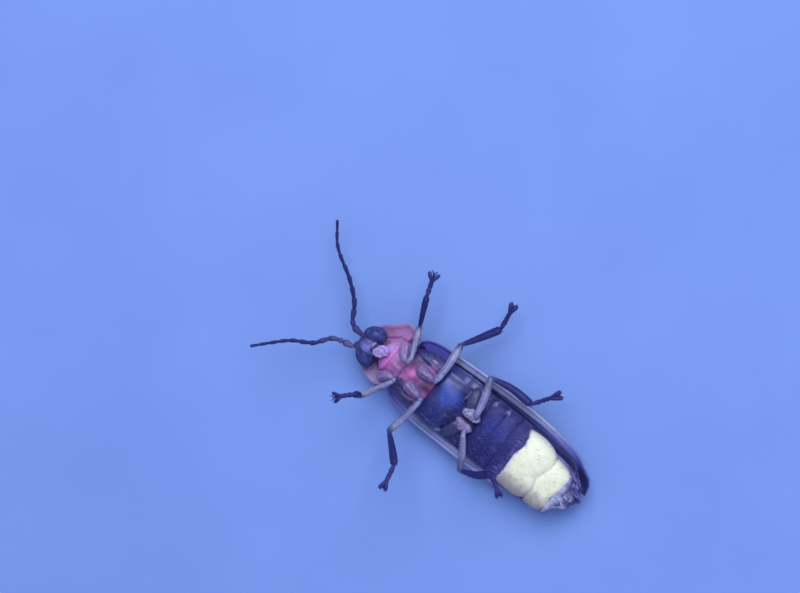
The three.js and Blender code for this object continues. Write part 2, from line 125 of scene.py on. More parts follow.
def add_camera():
    width_way = Vector((0, math.cos(TILT), math.sin(TILT)))
    length_way = Vector((1, 0, 0))
    right = (length_way * ACROSS[0] + width_way * ACROSS[1]).normalized()
    up = (length_way * RISING[0] + width_way * RISING[1]).normalized()
    back = right.cross(up)
    seen = Vector(SHIFT) + Vector((0, 0, CASE_RIM))
    seen += right * ((IMAGE[0] / 2 - BODY_PIXEL[0]) / PIXELS_PER_MM)
    seen += up * ((BODY_PIXEL[1] - IMAGE[1] / 2) / PIXELS_PER_MM)
    away = IMAGE[0] / PIXELS_PER_MM / 2 / math.tan(VIEW_ANGLE / 2)
    lens = bpy.data.cameras.new("camera")
    lens.angle = VIEW_ANGLE
    lens.clip_start = 1 * MM
    lens.clip_end = 5
    camera = bpy.data.objects.new("camera", lens)
    turn = Matrix((right, up, back)).transposed()
    camera.matrix_world = Matrix.Translation((seen + back * away) * MM) @ turn.to_4x4()
    bpy.context.scene.collection.objects.link(camera)
    bpy.context.scene.camera = camera


add_camera()


# Curves and relief
def lerp(a, b, t):
    return a + (b - a) * t


def smooth(t):
    t = np.clip(t, 0, 1)
    return t * t * (3 - 2 * t)


def bell(x, centre, width):
    return np.exp(-(((x - centre) / width) ** 2))


def rounded(share, power):
    return np.maximum(0, 1 - np.abs(share) ** power) ** (1 / power)


def lifted(x, start, lift, power=2, length=1.0):
    """A curve that starts level at a place and lifts away from there."""
    return lift * (np.maximum(0, x - start) / length) ** power


SEED_STEPS = (7.3, 3.1, 5.7)  # each seed moves the relief this far along its own pattern


def rough(points, size, seed=0, octaves=3):
    """Uneven relief from -1 to 1 whose bumps are about size millimetres across."""
    base = Vector([seed * step for step in SEED_STEPS])
    heights = [noise.fractal(Vector(p) / size + base, 1, 2, octaves) for p in points.reshape(-1, 3)]
    return np.reshape(heights, points.shape[:-1])


def squared(t, power):
    """A sine or cosine with its curve flattened, so that it draws a rounded box."""
    return np.sign(t) * np.abs(t) ** power


def read(table, x, column=1):
    """A column of a table at places of its first column."""
    return np.interp(x, table[:, 0], table[:, column])


def edge_round(distance, radius):
    """Rises in a quarter circle from 0 at an edge to 1 a radius away."""
    return rounded(1 - np.minimum(distance / radius, 1), 2)


def around(count):
    """Angles once round."""
    return np.linspace(0, 2 * np.pi, count, endpoint=False)


def grid_of(x, y, z):
    """A grid of points; each coordinate may be given once for a whole row or column."""
    return np.stack(np.broadcast_arrays(x, y, z), -1)


def fine_steps(count, ends=0.5):
    """Shares from 0 to 1 that crowd towards both ends."""
    t = np.linspace(0, 1, count)
    return lerp(t, (1 - np.cos(np.pi * t)) / 2, ends)


SKIN_MAP = "skin_map"
TUFT_PATCH = 0.003  # how much of the flat map one bristle covers


class Skin:
    """Closed pieces in millimetres with a flat map and painted values, until one mesh is made of them."""

    def __init__(self):
        self.points = np.zeros((0, 3))
        self.quads = np.zeros((0, 4), int)
        self.maps = np.zeros((0, 4, 2))
        self.caps = []
        self.paint = {}

    def add(self, points, quads, maps, caps=(), **paint):
        """Adds one closed piece and turns its faces outwards."""
        a, b, c, d = (points[quads[:, i]] for i in range(4))
        volume = (np.cross(a, b) * c).sum() + (np.cross(a, c) * d).sum()
        if volume < 0:
            quads, maps = quads[:, ::-1], maps[:, ::-1]
            caps = [(list(reversed(ring)), place) for ring, place in caps]
        start = len(self.points)
        self.points = np.vstack((self.points, points))
        self.quads = np.vstack((self.quads, quads + start))
        self.maps = np.vstack((self.maps, maps))
        self.caps += [([start + i for i in ring], place) for ring, place in caps]
        for name in {**self.paint, **paint}:
            new = np.asarray(paint.get(name, 0.0), float)
            old = self.paint.get(name, np.zeros((start, *new.shape[1:])))
            new = np.broadcast_to(new, (len(points), *old.shape[1:]))
            self.paint[name] = np.concatenate((old, new))

    def shrunk_map(self, tile, tiles):
        """The flat map drawn into one tile of a square sheet."""
        side = math.ceil(math.sqrt(tiles))
        corner = np.array((tile % side, tile // side))
        return (self.maps + corner) / side, [(ring, (np.array(p) + corner) / side) for ring, p in self.caps]

    def make(self, name, material=None):
        mesh = bpy.data.meshes.new(name)
        rows = (self.points + SHIFT) * MM
        mesh.from_pydata(rows.tolist(), [], self.quads.tolist() + [ring for ring, _ in self.caps])
        corners = [self.maps.reshape(-1, 2)] + [np.tile(place, (len(ring), 1)) for ring, place in self.caps]
        mesh.uv_layers.new(name=SKIN_MAP).data.foreach_set("uv", np.vstack(corners).ravel())
        for key, values in self.paint.items():
            kind, field = ("FLOAT_VECTOR", "vector") if values.ndim == 2 else ("FLOAT", "value")
            mesh.attributes.new(key, kind, "POINT").data.foreach_set(field, values.ravel())
        mesh.polygons.foreach_set("use_smooth", np.ones(len(mesh.polygons), bool))
        if material:
            mesh.materials.append(material)
        mesh.update()
        made = bpy.data.objects.new(name, mesh)
        bpy.context.scene.collection.objects.link(made)
        return made


def joined(skins):
    """One skin out of several, each in its own tile of the flat map."""
    whole = Skin()
    for tile, skin in enumerate(skins):
        maps, caps = skin.shrunk_map(tile, len(skins))
        whole.add(skin.points, skin.quads, maps, caps, **skin.paint)
    return whole


def loft(skin, rings, **paint):
    """A closed body through rings of points; painted values have one row a ring and one column a point."""
    rows, columns = rings.shape[:2]
    r, c = np.meshgrid(np.arange(rows - 1), np.arange(columns), indexing="ij")
    at = lambda row, column: row * columns + column % columns
    quads = np.stack((at(r, c), at(r, c + 1), at(r + 1, c + 1), at(r + 1, c)), -1).reshape(-1, 4)
    flat = lambda row, column: np.stack((row / (rows - 1), column / columns), -1)
    maps = np.stack((flat(r, c), flat(r, c + 1), flat(r + 1, c + 1), flat(r + 1, c)), -2).reshape(-1, 4, 2)
    first = list(range(columns))[::-1]
    last = list(range((rows - 1) * columns, rows * columns))
    caps = [(first, (0, 0.5)), (last, (1, 0.5))]
    even = {}
    for name, values in paint.items():
        values = np.asarray(values, float)
        even[name] = values.reshape(rows * columns, *values.shape[2:]) if values.ndim else values
    skin.add(rings.reshape(-1, 3), quads, maps, caps, **even)


def plate(skin, outer, inner, **paint):
    """A closed thin plate between two grids of points; each painted value is a pair, outer and inner.
    Each of the pair may be one number, or one for each row."""
    rows, columns = outer.shape[:2]
    count = rows * columns
    r, c = np.meshgrid(np.arange(rows - 1), np.arange(columns - 1), indexing="ij")
    a, b = r * columns + c, (r + 1) * columns + c
    face = np.stack((a, b, b + 1, a + 1), -1).reshape(-1, 4)
    flat = lambda row, column: np.stack((row / (rows - 1), column / (columns - 1) / 2), -1)
    maps = np.stack((flat(r, c), flat(r + 1, c), flat(r + 1, c + 1), flat(r, c + 1)), -2).reshape(-1, 4, 2)
    edge = np.concatenate((
        np.arange(rows - 1) * columns, (rows - 1) * columns + np.arange(columns - 1),
        np.arange(rows - 1, 0, -1) * columns + columns - 1, np.arange(columns - 1, 0, -1),
    ))
    after = np.roll(edge, -1)
    wall = np.stack((after, edge, edge + count, after + count), -1)
    spot = np.stack(((edge // columns) / (rows - 1), (edge % columns) / (columns - 1) / 2), -1)
    quads = np.vstack((face, face[:, ::-1] + count, wall))
    maps = np.vstack((maps, maps[:, ::-1] + (0, 0.5), np.repeat(spot[:, None], 4, 1)))
    points = np.vstack((outer.reshape(-1, 3), inner.reshape(-1, 3)))
    even = {}
    for name, pair in paint.items():
        spread = [np.broadcast_to(values, (rows, columns, *np.shape(values)[2:])) for values in pair]
        even[name] = np.concatenate([values.reshape(count, *values.shape[2:]) for values in spread])
    skin.add(points, quads, maps, **even)


def along_curve(route, count, ends=0.5):
    """Points and directions along a smooth curve through the route, crowded towards its ends."""
    route = np.array(route, float)
    path = np.vstack((2 * route[0] - route[1], route, 2 * route[-1] - route[-2]))
    t = np.linspace(0, 1, 24, endpoint=False)[:, None]
    pieces = []
    for p0, p1, p2, p3 in zip(path, path[1:], path[2:], path[3:]):
        bend = (2 * p0 - 5 * p1 + 4 * p2 - p3) * t**2 + (3 * p1 - 3 * p2 + p3 - p0) * t**3
        pieces.append((2 * p1 + (p2 - p0) * t + bend) / 2)
    fine = np.vstack((*pieces, route[-1:]))
    run = np.concatenate(([0], np.cumsum(np.linalg.norm(np.diff(fine, axis=0), axis=1))))
    shares = fine_steps(count, ends)
    points = np.stack([np.interp(shares * run[-1], run, fine[:, k]) for k in range(3)], -1)
    ways = np.gradient(points, shares, axis=0)
    return points, ways / np.linalg.norm(ways, axis=1, keepdims=True), shares, run[-1]


LIMB_BUMP = 0.14  # how wide the bumps on a limb are


def limb(skin, route, radii, flat=1.0, up=(0, 0, 1), rings=36, sides=20, bumps=0.0, seed=1, flutes=(0, 0),
         dome=1.0, **paint):
    """A tube along a smooth route. Radii are pairs of share and radius, its ends are domed over a share of
    their radius, flat is the thickness along up as a share of the width, and flutes are the number and depth
    of its lengthwise folds. Painted values are numbers or functions of the share."""
    points, ways, shares, length = along_curve(route, rings, 0.8)
    radius = read(np.array(radii, float), shares)
    ends = np.minimum(shares, 1 - shares) * length / np.maximum(radius * dome, 1e-6) + 0.02
    radius = radius * edge_round(ends, 1)
    side = np.cross(np.array(up, float), ways)
    side /= np.linalg.norm(side, axis=1, keepdims=True)
    top = np.cross(ways, side)
    angle = around(sides)
    ring = side[:, None] * np.cos(angle)[None, :, None] + top[:, None] * np.sin(angle)[None, :, None] * flat
    count, depth = flutes
    folds = np.cos(count * angle[None, :] + 1.5 * shares[:, None])
    folded = 1 + depth * folds * np.sin(np.pi * shares)[:, None]
    ring = ring * folded[..., None]
    if bumps:
        uneven = 1 + bumps * rough(points[:, None] + ring * radius[:, None, None], LIMB_BUMP, seed)
        ring = ring * uneven[..., None]
    values = {"lie": np.repeat(ways[:, None], sides, 1)}
    for name, rule in paint.items():
        along = rule(shares) if callable(rule) else np.full(rings, float(rule))
        values[name] = np.repeat(along[:, None], sides, 1)
    loft(skin, points[:, None] + ring * radius[:, None, None], **values)


# Shader and geometry node helper
def put(tree, kind, inputs=None, out=None, **settings):
    """Adds a node with its settings; inputs are values or other nodes' outputs, by identifier or name.
    Returns the named output, or the node itself."""
    made = tree.nodes.new(kind)
    for name, value in settings.items():
        setattr(made, name, value)
    for key, value in (inputs or {}).items():
        found = [s for s in made.inputs if s.identifier == key] or [s for s in made.inputs if s.name == key]
        if isinstance(value, bpy.types.NodeSocket):
            tree.links.new(value, found[0])
        else:
            found[0].default_value = value
    if out is None:
        return made
    return next(s for s in made.outputs if s.identifier == out or s.name == out)


def colour(code):
    """An sRGB hex value as linear light."""
    parts = [int(code[i:i + 2], 16) / 255 for i in (1, 3, 5)]
    return tuple(p / 12.92 if p <= 0.04045 else ((p + 0.055) / 1.055) ** 2.4 for p in parts) + (1.0,)


def per_mm(size):
    """A pattern's scale from the size of one of its cells in millimetres."""
    return 1 / (size * MM)


def blend(tree, share, a, b):
    return put(tree, "ShaderNodeMix", {"Factor_Float": share, "A_Color": a, "B_Color": b}, "Result_Color",
               data_type="RGBA")


def cuticle(name, base, mottle, marks=(), mottle_mm=0.5, mottle_share=0.6, grain_mm=0.03, grain_um=1.5,
            pits_mm=0.0, pits_um=4.0, rough_from=0.3, rough_to=0.45, fixed=None):
    """Insect cuticle: a base colour with cloudy mottling, painted marks laid over it in turn, a net of fine
    cells in its surface and, where it has them, punctures. Cells and punctures are drawn coarser than real
    ones, which are too fine to show. Fixed holds the shader's constant settings."""
    material = bpy.data.materials.new(name)
    material.use_nodes = True
    tree = material.node_tree
    shader = tree.nodes["Principled BSDF"]
    where = put(tree, "ShaderNodeTexCoord", out="Object")
    clouds = put(tree, "ShaderNodeTexNoise", {"Vector": where, "Scale": per_mm(mottle_mm), "Detail": 4.0},
                 "Fac")
    cloud_share = put(tree, "ShaderNodeMapRange", {"Value": clouds, "From Min": 0.35, "From Max": 0.65,
                                                   "To Max": mottle_share}, "Result")
    shown = blend(tree, cloud_share, colour(base), colour(mottle))
    for mark, code in marks:
        share = put(tree, "ShaderNodeAttribute", out="Fac", attribute_name=mark)
        shown = blend(tree, share, shown, colour(code))
    tree.links.new(shown, shader.inputs["Base Color"])
    grain = put(tree, "ShaderNodeTexVoronoi", {"Vector": where, "Scale": per_mm(grain_mm)}, "Distance",
                feature="F1")
    roughness = put(tree, "ShaderNodeMapRange", {"Value": clouds, "From Min": 0.3, "From Max": 0.7,
                                                 "To Min": rough_from, "To Max": rough_to}, "Result")
    tree.links.new(roughness, shader.inputs["Roughness"])
    normal = put(tree, "ShaderNodeBump", {"Height": grain, "Distance": grain_um * MICRON, "Strength": 1.0},
                 "Normal")
    if pits_mm:
        pits = put(tree, "ShaderNodeTexVoronoi", {"Vector": where, "Scale": per_mm(pits_mm)}, "Distance",
                   feature="SMOOTH_F1")
        rim = put(tree, "ShaderNodeMapRange", {"Value": pits, "From Min": 0.05, "From Max": 0.35}, "Result",
                  interpolation_type="SMOOTHSTEP")
        normal = put(tree, "ShaderNodeBump", {"Height": rim, "Distance": pits_um * MICRON, "Strength": 1.0,
                                              "Normal": normal}, "Normal")
    tree.links.new(normal, shader.inputs["Normal"])
    for key, value in {"IOR": 1.56, **(fixed or {})}.items():
        shader.inputs[key].default_value = value
    return material


# Hardened wing-case cuticle, blue-black with a satin lustre and fine close punctures, paler at the edge; its
# inner face is painted lighter, as light in the shaded gap beside the body, and a thin highlight is painted
# along the rim
WING_CASE = cuticle(
    "wing_case_cuticle", "#1d1a2c", "#141226",
    marks=(("inside", "#5458a4"), ("margin", "#a3a8c2"), ("cream", "#d3cdb8"), ("glint", "#b98a6c"),
           ("rust", "#6b5478"), ("violet", "#504e9a")),
    mottle_mm=0.9, grain_mm=0.035, grain_um=2.2, pits_mm=0.075, pits_um=3.5, rough_from=0.34, rough_to=0.5,
    fixed={"Coat Weight": 0.15, "Coat Roughness": 0.25})

# Soft rose cuticle of the fore body, slightly translucent so that its edges glow
ROSE = cuticle(
    "rose_cuticle", "#b5739a", "#8c5982",
    marks=(("magenta", "#7c3a72"), ("pink", "#e46cb2"), ("tan", "#9186a0"), ("spot", "#1a1216"),
           ("dusk", "#2b2358"), ("pale", "#cb9cc0"), ("blood", "#5a1f4a")),
    mottle_mm=0.35, grain_mm=0.04, grain_um=2.5, rough_from=0.45, rough_to=0.6,
    fixed={"Subsurface Weight": 0.3, "Subsurface Radius": (1.0, 0.4, 0.35), "Subsurface Scale": 0.15 * MM,
           "Coat Weight": 0.06, "Coat Roughness": 0.35})

# Polished blue-black cuticle of the broad plate between the legs, with punctures that break the gloss and a
# steel-blue sheen painted on its middle
BLACK_PLATE = cuticle(
    "polished_black_cuticle", "#191f62", "#171a4e",
    marks=(("bloom", "#374f9c"), ("dusk", "#3c3a68"), ("pale", "#a39fb4"), ("rust", "#4a1d44")),
    mottle_mm=0.7, grain_mm=0.05, grain_um=1.6, pits_mm=0.13, pits_um=3, rough_from=0.4, rough_to=0.55,
    fixed={"Coat Weight": 0.08, "Coat Roughness": 0.35})

# Thin ringed cuticle of the belly, the same blue-black but duller under its short down, with a bluish sheen
# painted on its left
BELLY = cuticle(
    "belly_cuticle", "#181b54", "#212056",
    marks=(("pale", "#6d679c"), ("bloom", "#2b3a86"), ("white", "#b4b0c4")),
    mottle_mm=0.4, grain_mm=0.05, grain_um=3, pits_mm=0.11, pits_um=5, rough_from=0.5, rough_to=0.7,
    fixed={"Specular IOR Level": 0.3})

# Waxy, see-through cuticle over the cream tissue of the light organ, which scatters light like candle wax
LIGHT_ORGAN = cuticle(
    "light_organ_wax", "#fff9c8", "#faefb8",
    marks=(("shade", "#9e9184"), ("rim", "#b6b7de"), ("seam", "#9c8a6c"), ("pore", "#5a4c3c")),
    mottle_mm=0.3, mottle_share=0.8, grain_mm=0.035, grain_um=7, pits_mm=0.1, pits_um=5,
    rough_from=0.42, rough_to=0.6,
    fixed={"Subsurface Weight": 0.45, "Subsurface Radius": (1.0, 0.85, 0.55), "Subsurface Scale": 0.2 * MM,
           "Coat Weight": 0.08, "Coat Roughness": 0.4})

# Greyish horn-like skin of the tail end, half translucent
TAIL = cuticle(
    "tail_membrane", "#a9a6b8", "#86829e",
    marks=(("pale", "#c2bfcc"), ("streak", "#23224c")), mottle_mm=0.18, grain_mm=0.03, grain_um=3,
    rough_from=0.3, rough_to=0.45,
    fixed={"Subsurface Weight": 0.3, "Subsurface Scale": 0.15 * MM,
           "Coat Weight": 0.2, "Coat Roughness": 0.3})

# Smoky folded membrane of the hind wings, glossy, with highlights painted along its pleats; its colour is
# painted lighter than the real one, as light in the shaded gap under the wing cases
WING_MEMBRANE = cuticle(
    "smoky_wing_membrane", "#6466ac", "#4a4a8a",
    marks=(("dusk", "#2b2656"), ("pale", "#8f8cb0")),
    mottle_mm=0.2, grain_mm=0.02, grain_um=1, rough_from=0.35, rough_to=0.5,
    fixed={"Coat Weight": 0.12, "Coat Roughness": 0.3})

# Downy violet-grey cuticle of the face, darker towards its sides
FACE = cuticle(
    "face_cuticle", "#6264a2", "#444688",
    marks=(("dusk", "#1e1f50"), ("pale", "#8d88b4")),
    mottle_mm=0.16, grain_mm=0.04, grain_um=3, pits_mm=0.09, pits_um=4, rough_from=0.35, rough_to=0.5,
    fixed={"Coat Weight": 0.15, "Coat Roughness": 0.3})

# Lenses of the compound eye: hard, dark blue and glossy, each facet catching its own point of light
EYE = cuticle(
    "eye_lenses", "#1a1c50", "#34387c", mottle_mm=0.22, mottle_share=0.8, grain_mm=0.02, grain_um=0.4,
    rough_from=0.34, rough_to=0.5, fixed={"Coat Weight": 0.1, "Coat Roughness": 0.3})

# Lilac-grey cuticle of the mouth, coxae and femora, matt and faintly translucent, so that it looks softer
PALE_LIMB = cuticle(
    "pale_limb_cuticle", "#8c90ae", "#6e7296",
    marks=(("cream", "#beb4b4"), ("mauve", "#6c527a"), ("pink", "#a9739b"), ("lilac", "#bd9bcf"),
           ("dark", "#26244c"), ("black", "#16142e")),
    mottle_mm=0.3, grain_mm=0.035, grain_um=2.5, pits_mm=0.08, pits_um=3, rough_from=0.38, rough_to=0.52,
    fixed={"Subsurface Weight": 0.2, "Subsurface Radius": (1.0, 0.6, 0.45), "Subsurface Scale": 0.1 * MM,
           "Coat Weight": 0.1, "Coat Roughness": 0.3})

# Blue-black cuticle of tibiae, feet and feelers, satin between its close bristles
DARK_LIMB = cuticle(
    "dark_limb_cuticle", "#1a1e64", "#15164c",
    marks=(("pale", "#6a678f"), ("warm", "#2e1c62")),
    mottle_mm=0.25, grain_mm=0.03, grain_um=2.5, pits_mm=0.07, pits_um=3, rough_from=0.5, rough_to=0.65,
    fixed={"Coat Weight": 0.04, "Coat Roughness": 0.4, "Specular IOR Level": 0.35})


def down(name, tone):
    """Hair of the insect's down: horn-like, shiny along its length."""
    return cuticle(name, tone, tone, mottle_mm=0.3, grain_mm=0.02, grain_um=0.2, rough_from=0.3,
                   rough_to=0.42, fixed={"Sheen Weight": 0.3, "Sheen Roughness": 0.4})


DARK_DOWN = down("dark_down", "#211f4e")
PALE_DOWN = down("pale_down", "#77749a")
BELLY_DOWN = down("belly_down_hair", "#55528a")

FLOOR_CLOUDS = 9  # how wide the floor's faint clouds are


def material_of_floor():
    """Matt pale blue paint for the floor, plain, so that only the model's shadow marks it."""
    made = bpy.data.materials.new("floor_paint")
    made.use_nodes = True
    tree = made.node_tree
    shader = tree.nodes["Principled BSDF"]
    where = put(tree, "ShaderNodeTexCoord", out="Object")
    clouds = put(tree, "ShaderNodeTexNoise", {"Vector": where, "Scale": per_mm(FLOOR_CLOUDS), "Detail": 4.0},
                 "Fac")
    share = put(tree, "ShaderNodeMapRange", {"Value": clouds, "From Min": 0.3, "From Max": 0.7}, "Result")
    tree.links.new(blend(tree, share, colour("#7c97c6"), colour("#829dcb")), shader.inputs["Base Color"])
    shader.inputs["Roughness"].default_value = 0.75
    return made


# Finished pieces
def finish(piece, slot, *nodes):
    """Lets a piece stand for CAD nodes: hangs it from the root and hides the nodes. The slot is not used."""
    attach(piece, "root")
    if nodes:
        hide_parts(*nodes)
    return piece


# Wing cases
def case_half(x, side=1):
    front = rounded(x / CASE["shoulder"], CASE["square"][side]) * (1 - CASE["taper"] * x)
    rear = rounded(x / CASE["tail"], CASE["tail_square"])
    return CASE["half"] * np.where(x > 0, front, rear)


def case_back(x):
    return lifted(-x, 3.5, 0.9, 1.8, 2.55) + lifted(x, 3.5, 0.22)


def case_rim(x):
    return CASE_RIM + lifted(-x, 4.5, 0.12, 1)


def arch(share, flat):
    return np.maximum(0, (share - flat) / (1 - flat)) ** ARCH_POWER


def upward_normals(grid):
    """Directions square to a grid of points, all turned upwards."""
    square = np.cross(np.gradient(grid, axis=0), np.gradient(grid, axis=1))
    square /= np.maximum(np.linalg.norm(square, axis=-1, keepdims=True), 1e-9)
    return square * np.where(square[..., 2:] < 0, -1, 1)


CASE_ENDS = {  # X and the half width where an end is narrower than the whole outline
    -1: np.array([(-6.04, 0.1), (-5.98, 0.42), (-5.88, 0.76), (-5.78, 0.95), (-5.68, 1.06), (-4.6, 1.65),
                  (-4.0, 3.0)]),
    1: np.array([(-6.04, 0.1), (-5.8, 0.5), (-5.5, 0.82), (-5.2, 1.12), (-4.6, 1.65), (-4.0, 3.0)]),
}
TAILWARDS = (-1.0, 0.0, 0.0)


def wing_case(side):
    """A thin hard shell with raised lines and a turned-in rim, puffed up on the inside at the shoulder."""
    x = lerp(CASE["base"], CASE["tip"], fine_steps(230, 0.85))[:, None]
    share = fine_steps(84, 0.7)[None, :]
    half, clear = case_half(x, side), SUTURE + lifted(-x, 5.4, 0.25, 2, 0.65)
    teeth = 0.05 * rough(grid_of(x, 0, side), 0.12, 45, 2) * smooth((-5.4 - x) / 0.3)
    half = np.minimum(half, read(CASE_ENDS[side], x) + teeth)
    away = lerp(clear, np.maximum(half, clear + 0.02), share)
    width = np.maximum(half - clear, 0.02)
    from_rim, from_suture = (1 - share) * width, share * width
    ribs = sum(bell(share, line, 0.035) for line in COSTAE) * smooth((x + 5.4) / 2) * smooth((4.4 - x) / 1.5)
    furrow = 0.022 * (1 - ribs) * smooth(from_rim / 0.3) * smooth(from_suture / 0.2)
    height = lerp(case_back(x), case_rim(x), arch(share, CASE_FLAT)) + furrow
    centre = CASE_SWAY * (x - CASE_SWAY_CENTRE)
    outer = grid_of(x, centre + side * away, height)
    from_end = np.minimum(CASE["base"] - x, x - CASE["tip"])
    near = np.minimum(np.minimum(from_rim, from_suture), from_end)
    shoulder = smooth((x - 2.9) / 0.5)
    puffed = 0.45 * smooth((x - 2.6) / 0.7) * smooth((4.58 - x) / 0.3) * smooth((from_rim - 0.02) / 0.5)
    wall = CASE_WALL + 0.05 * bell(from_rim, 0.3, 0.28) + 0.03 * bell(from_suture, 0, 0.07) + puffed
    wall = wall * (THIN_EDGE + (1 - THIN_EDGE) * edge_round(near, 0.05))
    inner = outer + upward_normals(outer) * wall[..., None]
    level = case_rim(x) - 0.04 - 0.4 * from_rim
    turned_in = smooth((0.46 - from_rim) / 0.2) * smooth(near / 0.05) * smooth((x + 5.6) / 1.2)
    inner[..., 2] += np.maximum(0, level - inner[..., 2]) * turned_in
    left = side < 0
    pale = smooth((MARGIN - 0.2 * smooth((-1 - x) / 1.4) - from_rim) / 0.24)
    # The pale edge on the inner face is painted weaker on the right, as painted shade on the side away from
    # the light
    under = pale * (1 - shoulder) * smooth((x + 4.9) / 3.2) * (0.95 if left else 0.6)
    margin = np.maximum(0.75 * smooth((0.34 - from_rim) / 0.12), smooth((0.09 - from_suture) / 0.04))
    glint = bell(x, 1.85, 0.35) * bell(from_rim, 0.3, 0.06) * (0.25 if left else 0.8)
    rust = shoulder * bell(from_rim, 0.1, 0.16) * 0.4
    violet = shoulder * smooth((from_rim + 0.2) / 0.4)
    # The thin cream line along the very rim is a painted highlight, stronger on the left, where the light
    # falls
    cream = under * bell(from_rim, 0.05, 0.05) * smooth((1.2 - x) / 0.5) * (0.35 if left else 0.2)
    lie = np.broadcast_to(TAILWARDS, outer.shape)
    pressed = lie.copy()  # the down on the back lies flatter where the back rests on the floor
    pressed[..., 2] = 0.55 * smooth((0.14 - height) / 0.08)
    skin = Skin()
    # The inner face is painted lighter than the real cuticle: painted light in the shaded gap beside the body
    plate(skin, outer, inner, inside=(0, lerp(0.45, 1, smooth((x + 5.2) / 0.9))), margin=(margin, under),
          glint=(0, glint), rust=(0, rust), violet=(0, violet), cream=(0, cream), lie=(pressed, lie),
          hairy=(smooth(from_end / 0.2), 0.25 * pale))
    return skin


# Pronotum
def shield_half(x):
    size = SHIELD
    near = size["base_half"] + (size["half"] - size["base_half"]) * np.sin(
        np.clip((x - size["base"]) / (size["widest"] - size["base"]), 0, 1) * np.pi / 2)
    past = size["front"] + size["past"] - size["widest"]
    far = size["half"] * rounded(np.maximum(0, x - size["widest"]) / past, size["square"])
    return np.where(x < size["widest"], near, far)


SHIELD_CORNER = np.array([  # X and how far the left edge stands out past an even curve
    (4.7, 0.0), (5.2, 0.05), (5.45, 0.13), (5.6, 0.15), (5.75, 0.08), (5.95, -0.06), (6.2, -0.14),
    (6.5, -0.1), (6.8, 0.0),
])


def shield_centre(x):
    return SHIELD_CENTRE + SHIELD_TURN * (x - SHIELD["base"])


def shield_back(x):
    return SHIELD_BACK + lifted(x, 5.5, 0.1)


def shield_rim(x):
    return SHIELD_RIM - lifted(x, SHIELD["widest"], 0.26, 1.5)


def pronotum():
    """The thin shield over the head, puffed up on the inside away from its rim."""
    x = lerp(SHIELD["base"], SHIELD["front"], fine_steps(120, 0.8))[:, None]
    share = (2 * fine_steps(150, 0.75) - 1)[None, :]
    half = shield_half(x)
    away = share * half - read(SHIELD_CORNER, x) * smooth(-share)
    disc = bell(np.abs(share), 0.28, 0.16) * 0.03 * smooth((6.3 - x) / 0.8)
    height = lerp(shield_back(x), shield_rim(x), arch(np.abs(share), SHIELD_FLAT)) + disc
    centre = shield_centre(x)
    outer = grid_of(x, centre + away, height)
    from_side = (1 - np.abs(share)) * half
    from_end = np.minimum(x - SHIELD["base"], SHIELD["front"] - x)
    near = np.minimum(from_side, from_end)
    puffed = 0.34 * smooth((from_side + 0.05) / 0.5) * smooth(from_end / 0.35) * smooth(near / 0.05)
    wall = SHIELD_WALL * (THIN_EDGE + (1 - THIN_EDGE) * edge_round(near, 0.06)) + puffed
    inner = outer + upward_normals(outer) * wall[..., None]
    inner[..., 2] += 0.025 * rough(inner * (1.8, 1, 1), 0.4, 4, 4) * smooth(near / 0.15)
    y = outer[..., 1]
    # On the right, the inner face is painted paler tan as painted light where it lies in shade; the tan along
    # the edge is the shield's own
    tan_edge_and_painted_light = np.maximum(0.35 * smooth((0.3 - from_side) / 0.25), 0.6 * smooth((y - 1.2) / 0.3))
    # Magenta here is painted shade: a patch on the right side, away from the light, and a band along the edge
    magenta = np.maximum(bell(x, 5.45, 0.5) * bell(y, 1.05, 0.33), 0.4 * smooth((0.14 - from_side) / 0.1))
    # The pale patch on the left side is painted light, where the light falls
    pale = bell(x, 5.45, 0.6) * bell(y, -0.95, 0.45)
    spot = smooth(1.25 - 2.2 * np.hypot((x - 5.5) / 1.25, (y - centre) / 0.95)) * smooth((6.2 - x) / 0.4)
    lie = np.broadcast_to(TAILWARDS, outer.shape)
    skin = Skin()
    plate(skin, outer, inner, tan=(smooth((0.3 - near) / 0.12), tan_edge_and_painted_light), magenta=(0, magenta),
          pale=(0, pale), spot=(spot, 0), lie=(lie, lie), hairy=(0.8, 0.3 * tan_edge_and_painted_light))
    return skin


case_skins = {}
for side_name, side in SIDES.items():
    case_skins[side_name] = wing_case(side)
    piece = case_skins[side_name].make(f"elytron_{side_name}", WING_CASE)
    finish(piece, "wing_case", f"wing_case_{side_name}")
shield_skin = pronotum()
finish(shield_skin.make("pronotum_shield", ROSE), "rose_cuticle", "pronotum")


# Trunk
def smoothed_station(column):
    """One column of the trunk's stations as a smooth curve over X."""
    x = np.arange(-6.4, 5.4, 0.02)
    values = read(TRUNK, x, column)
    weight = bell(np.arange(-0.6, 0.61, 0.02), 0, 0.22)
    padded = np.pad(values, len(weight) // 2, mode="edge")
    return x, np.convolve(padded, weight / weight.sum(), "valid")


STATION_CURVES = [smoothed_station(column) for column in range(1, 5)]


def station(x, column):
    return np.interp(x, *STATION_CURVES[column - 1])


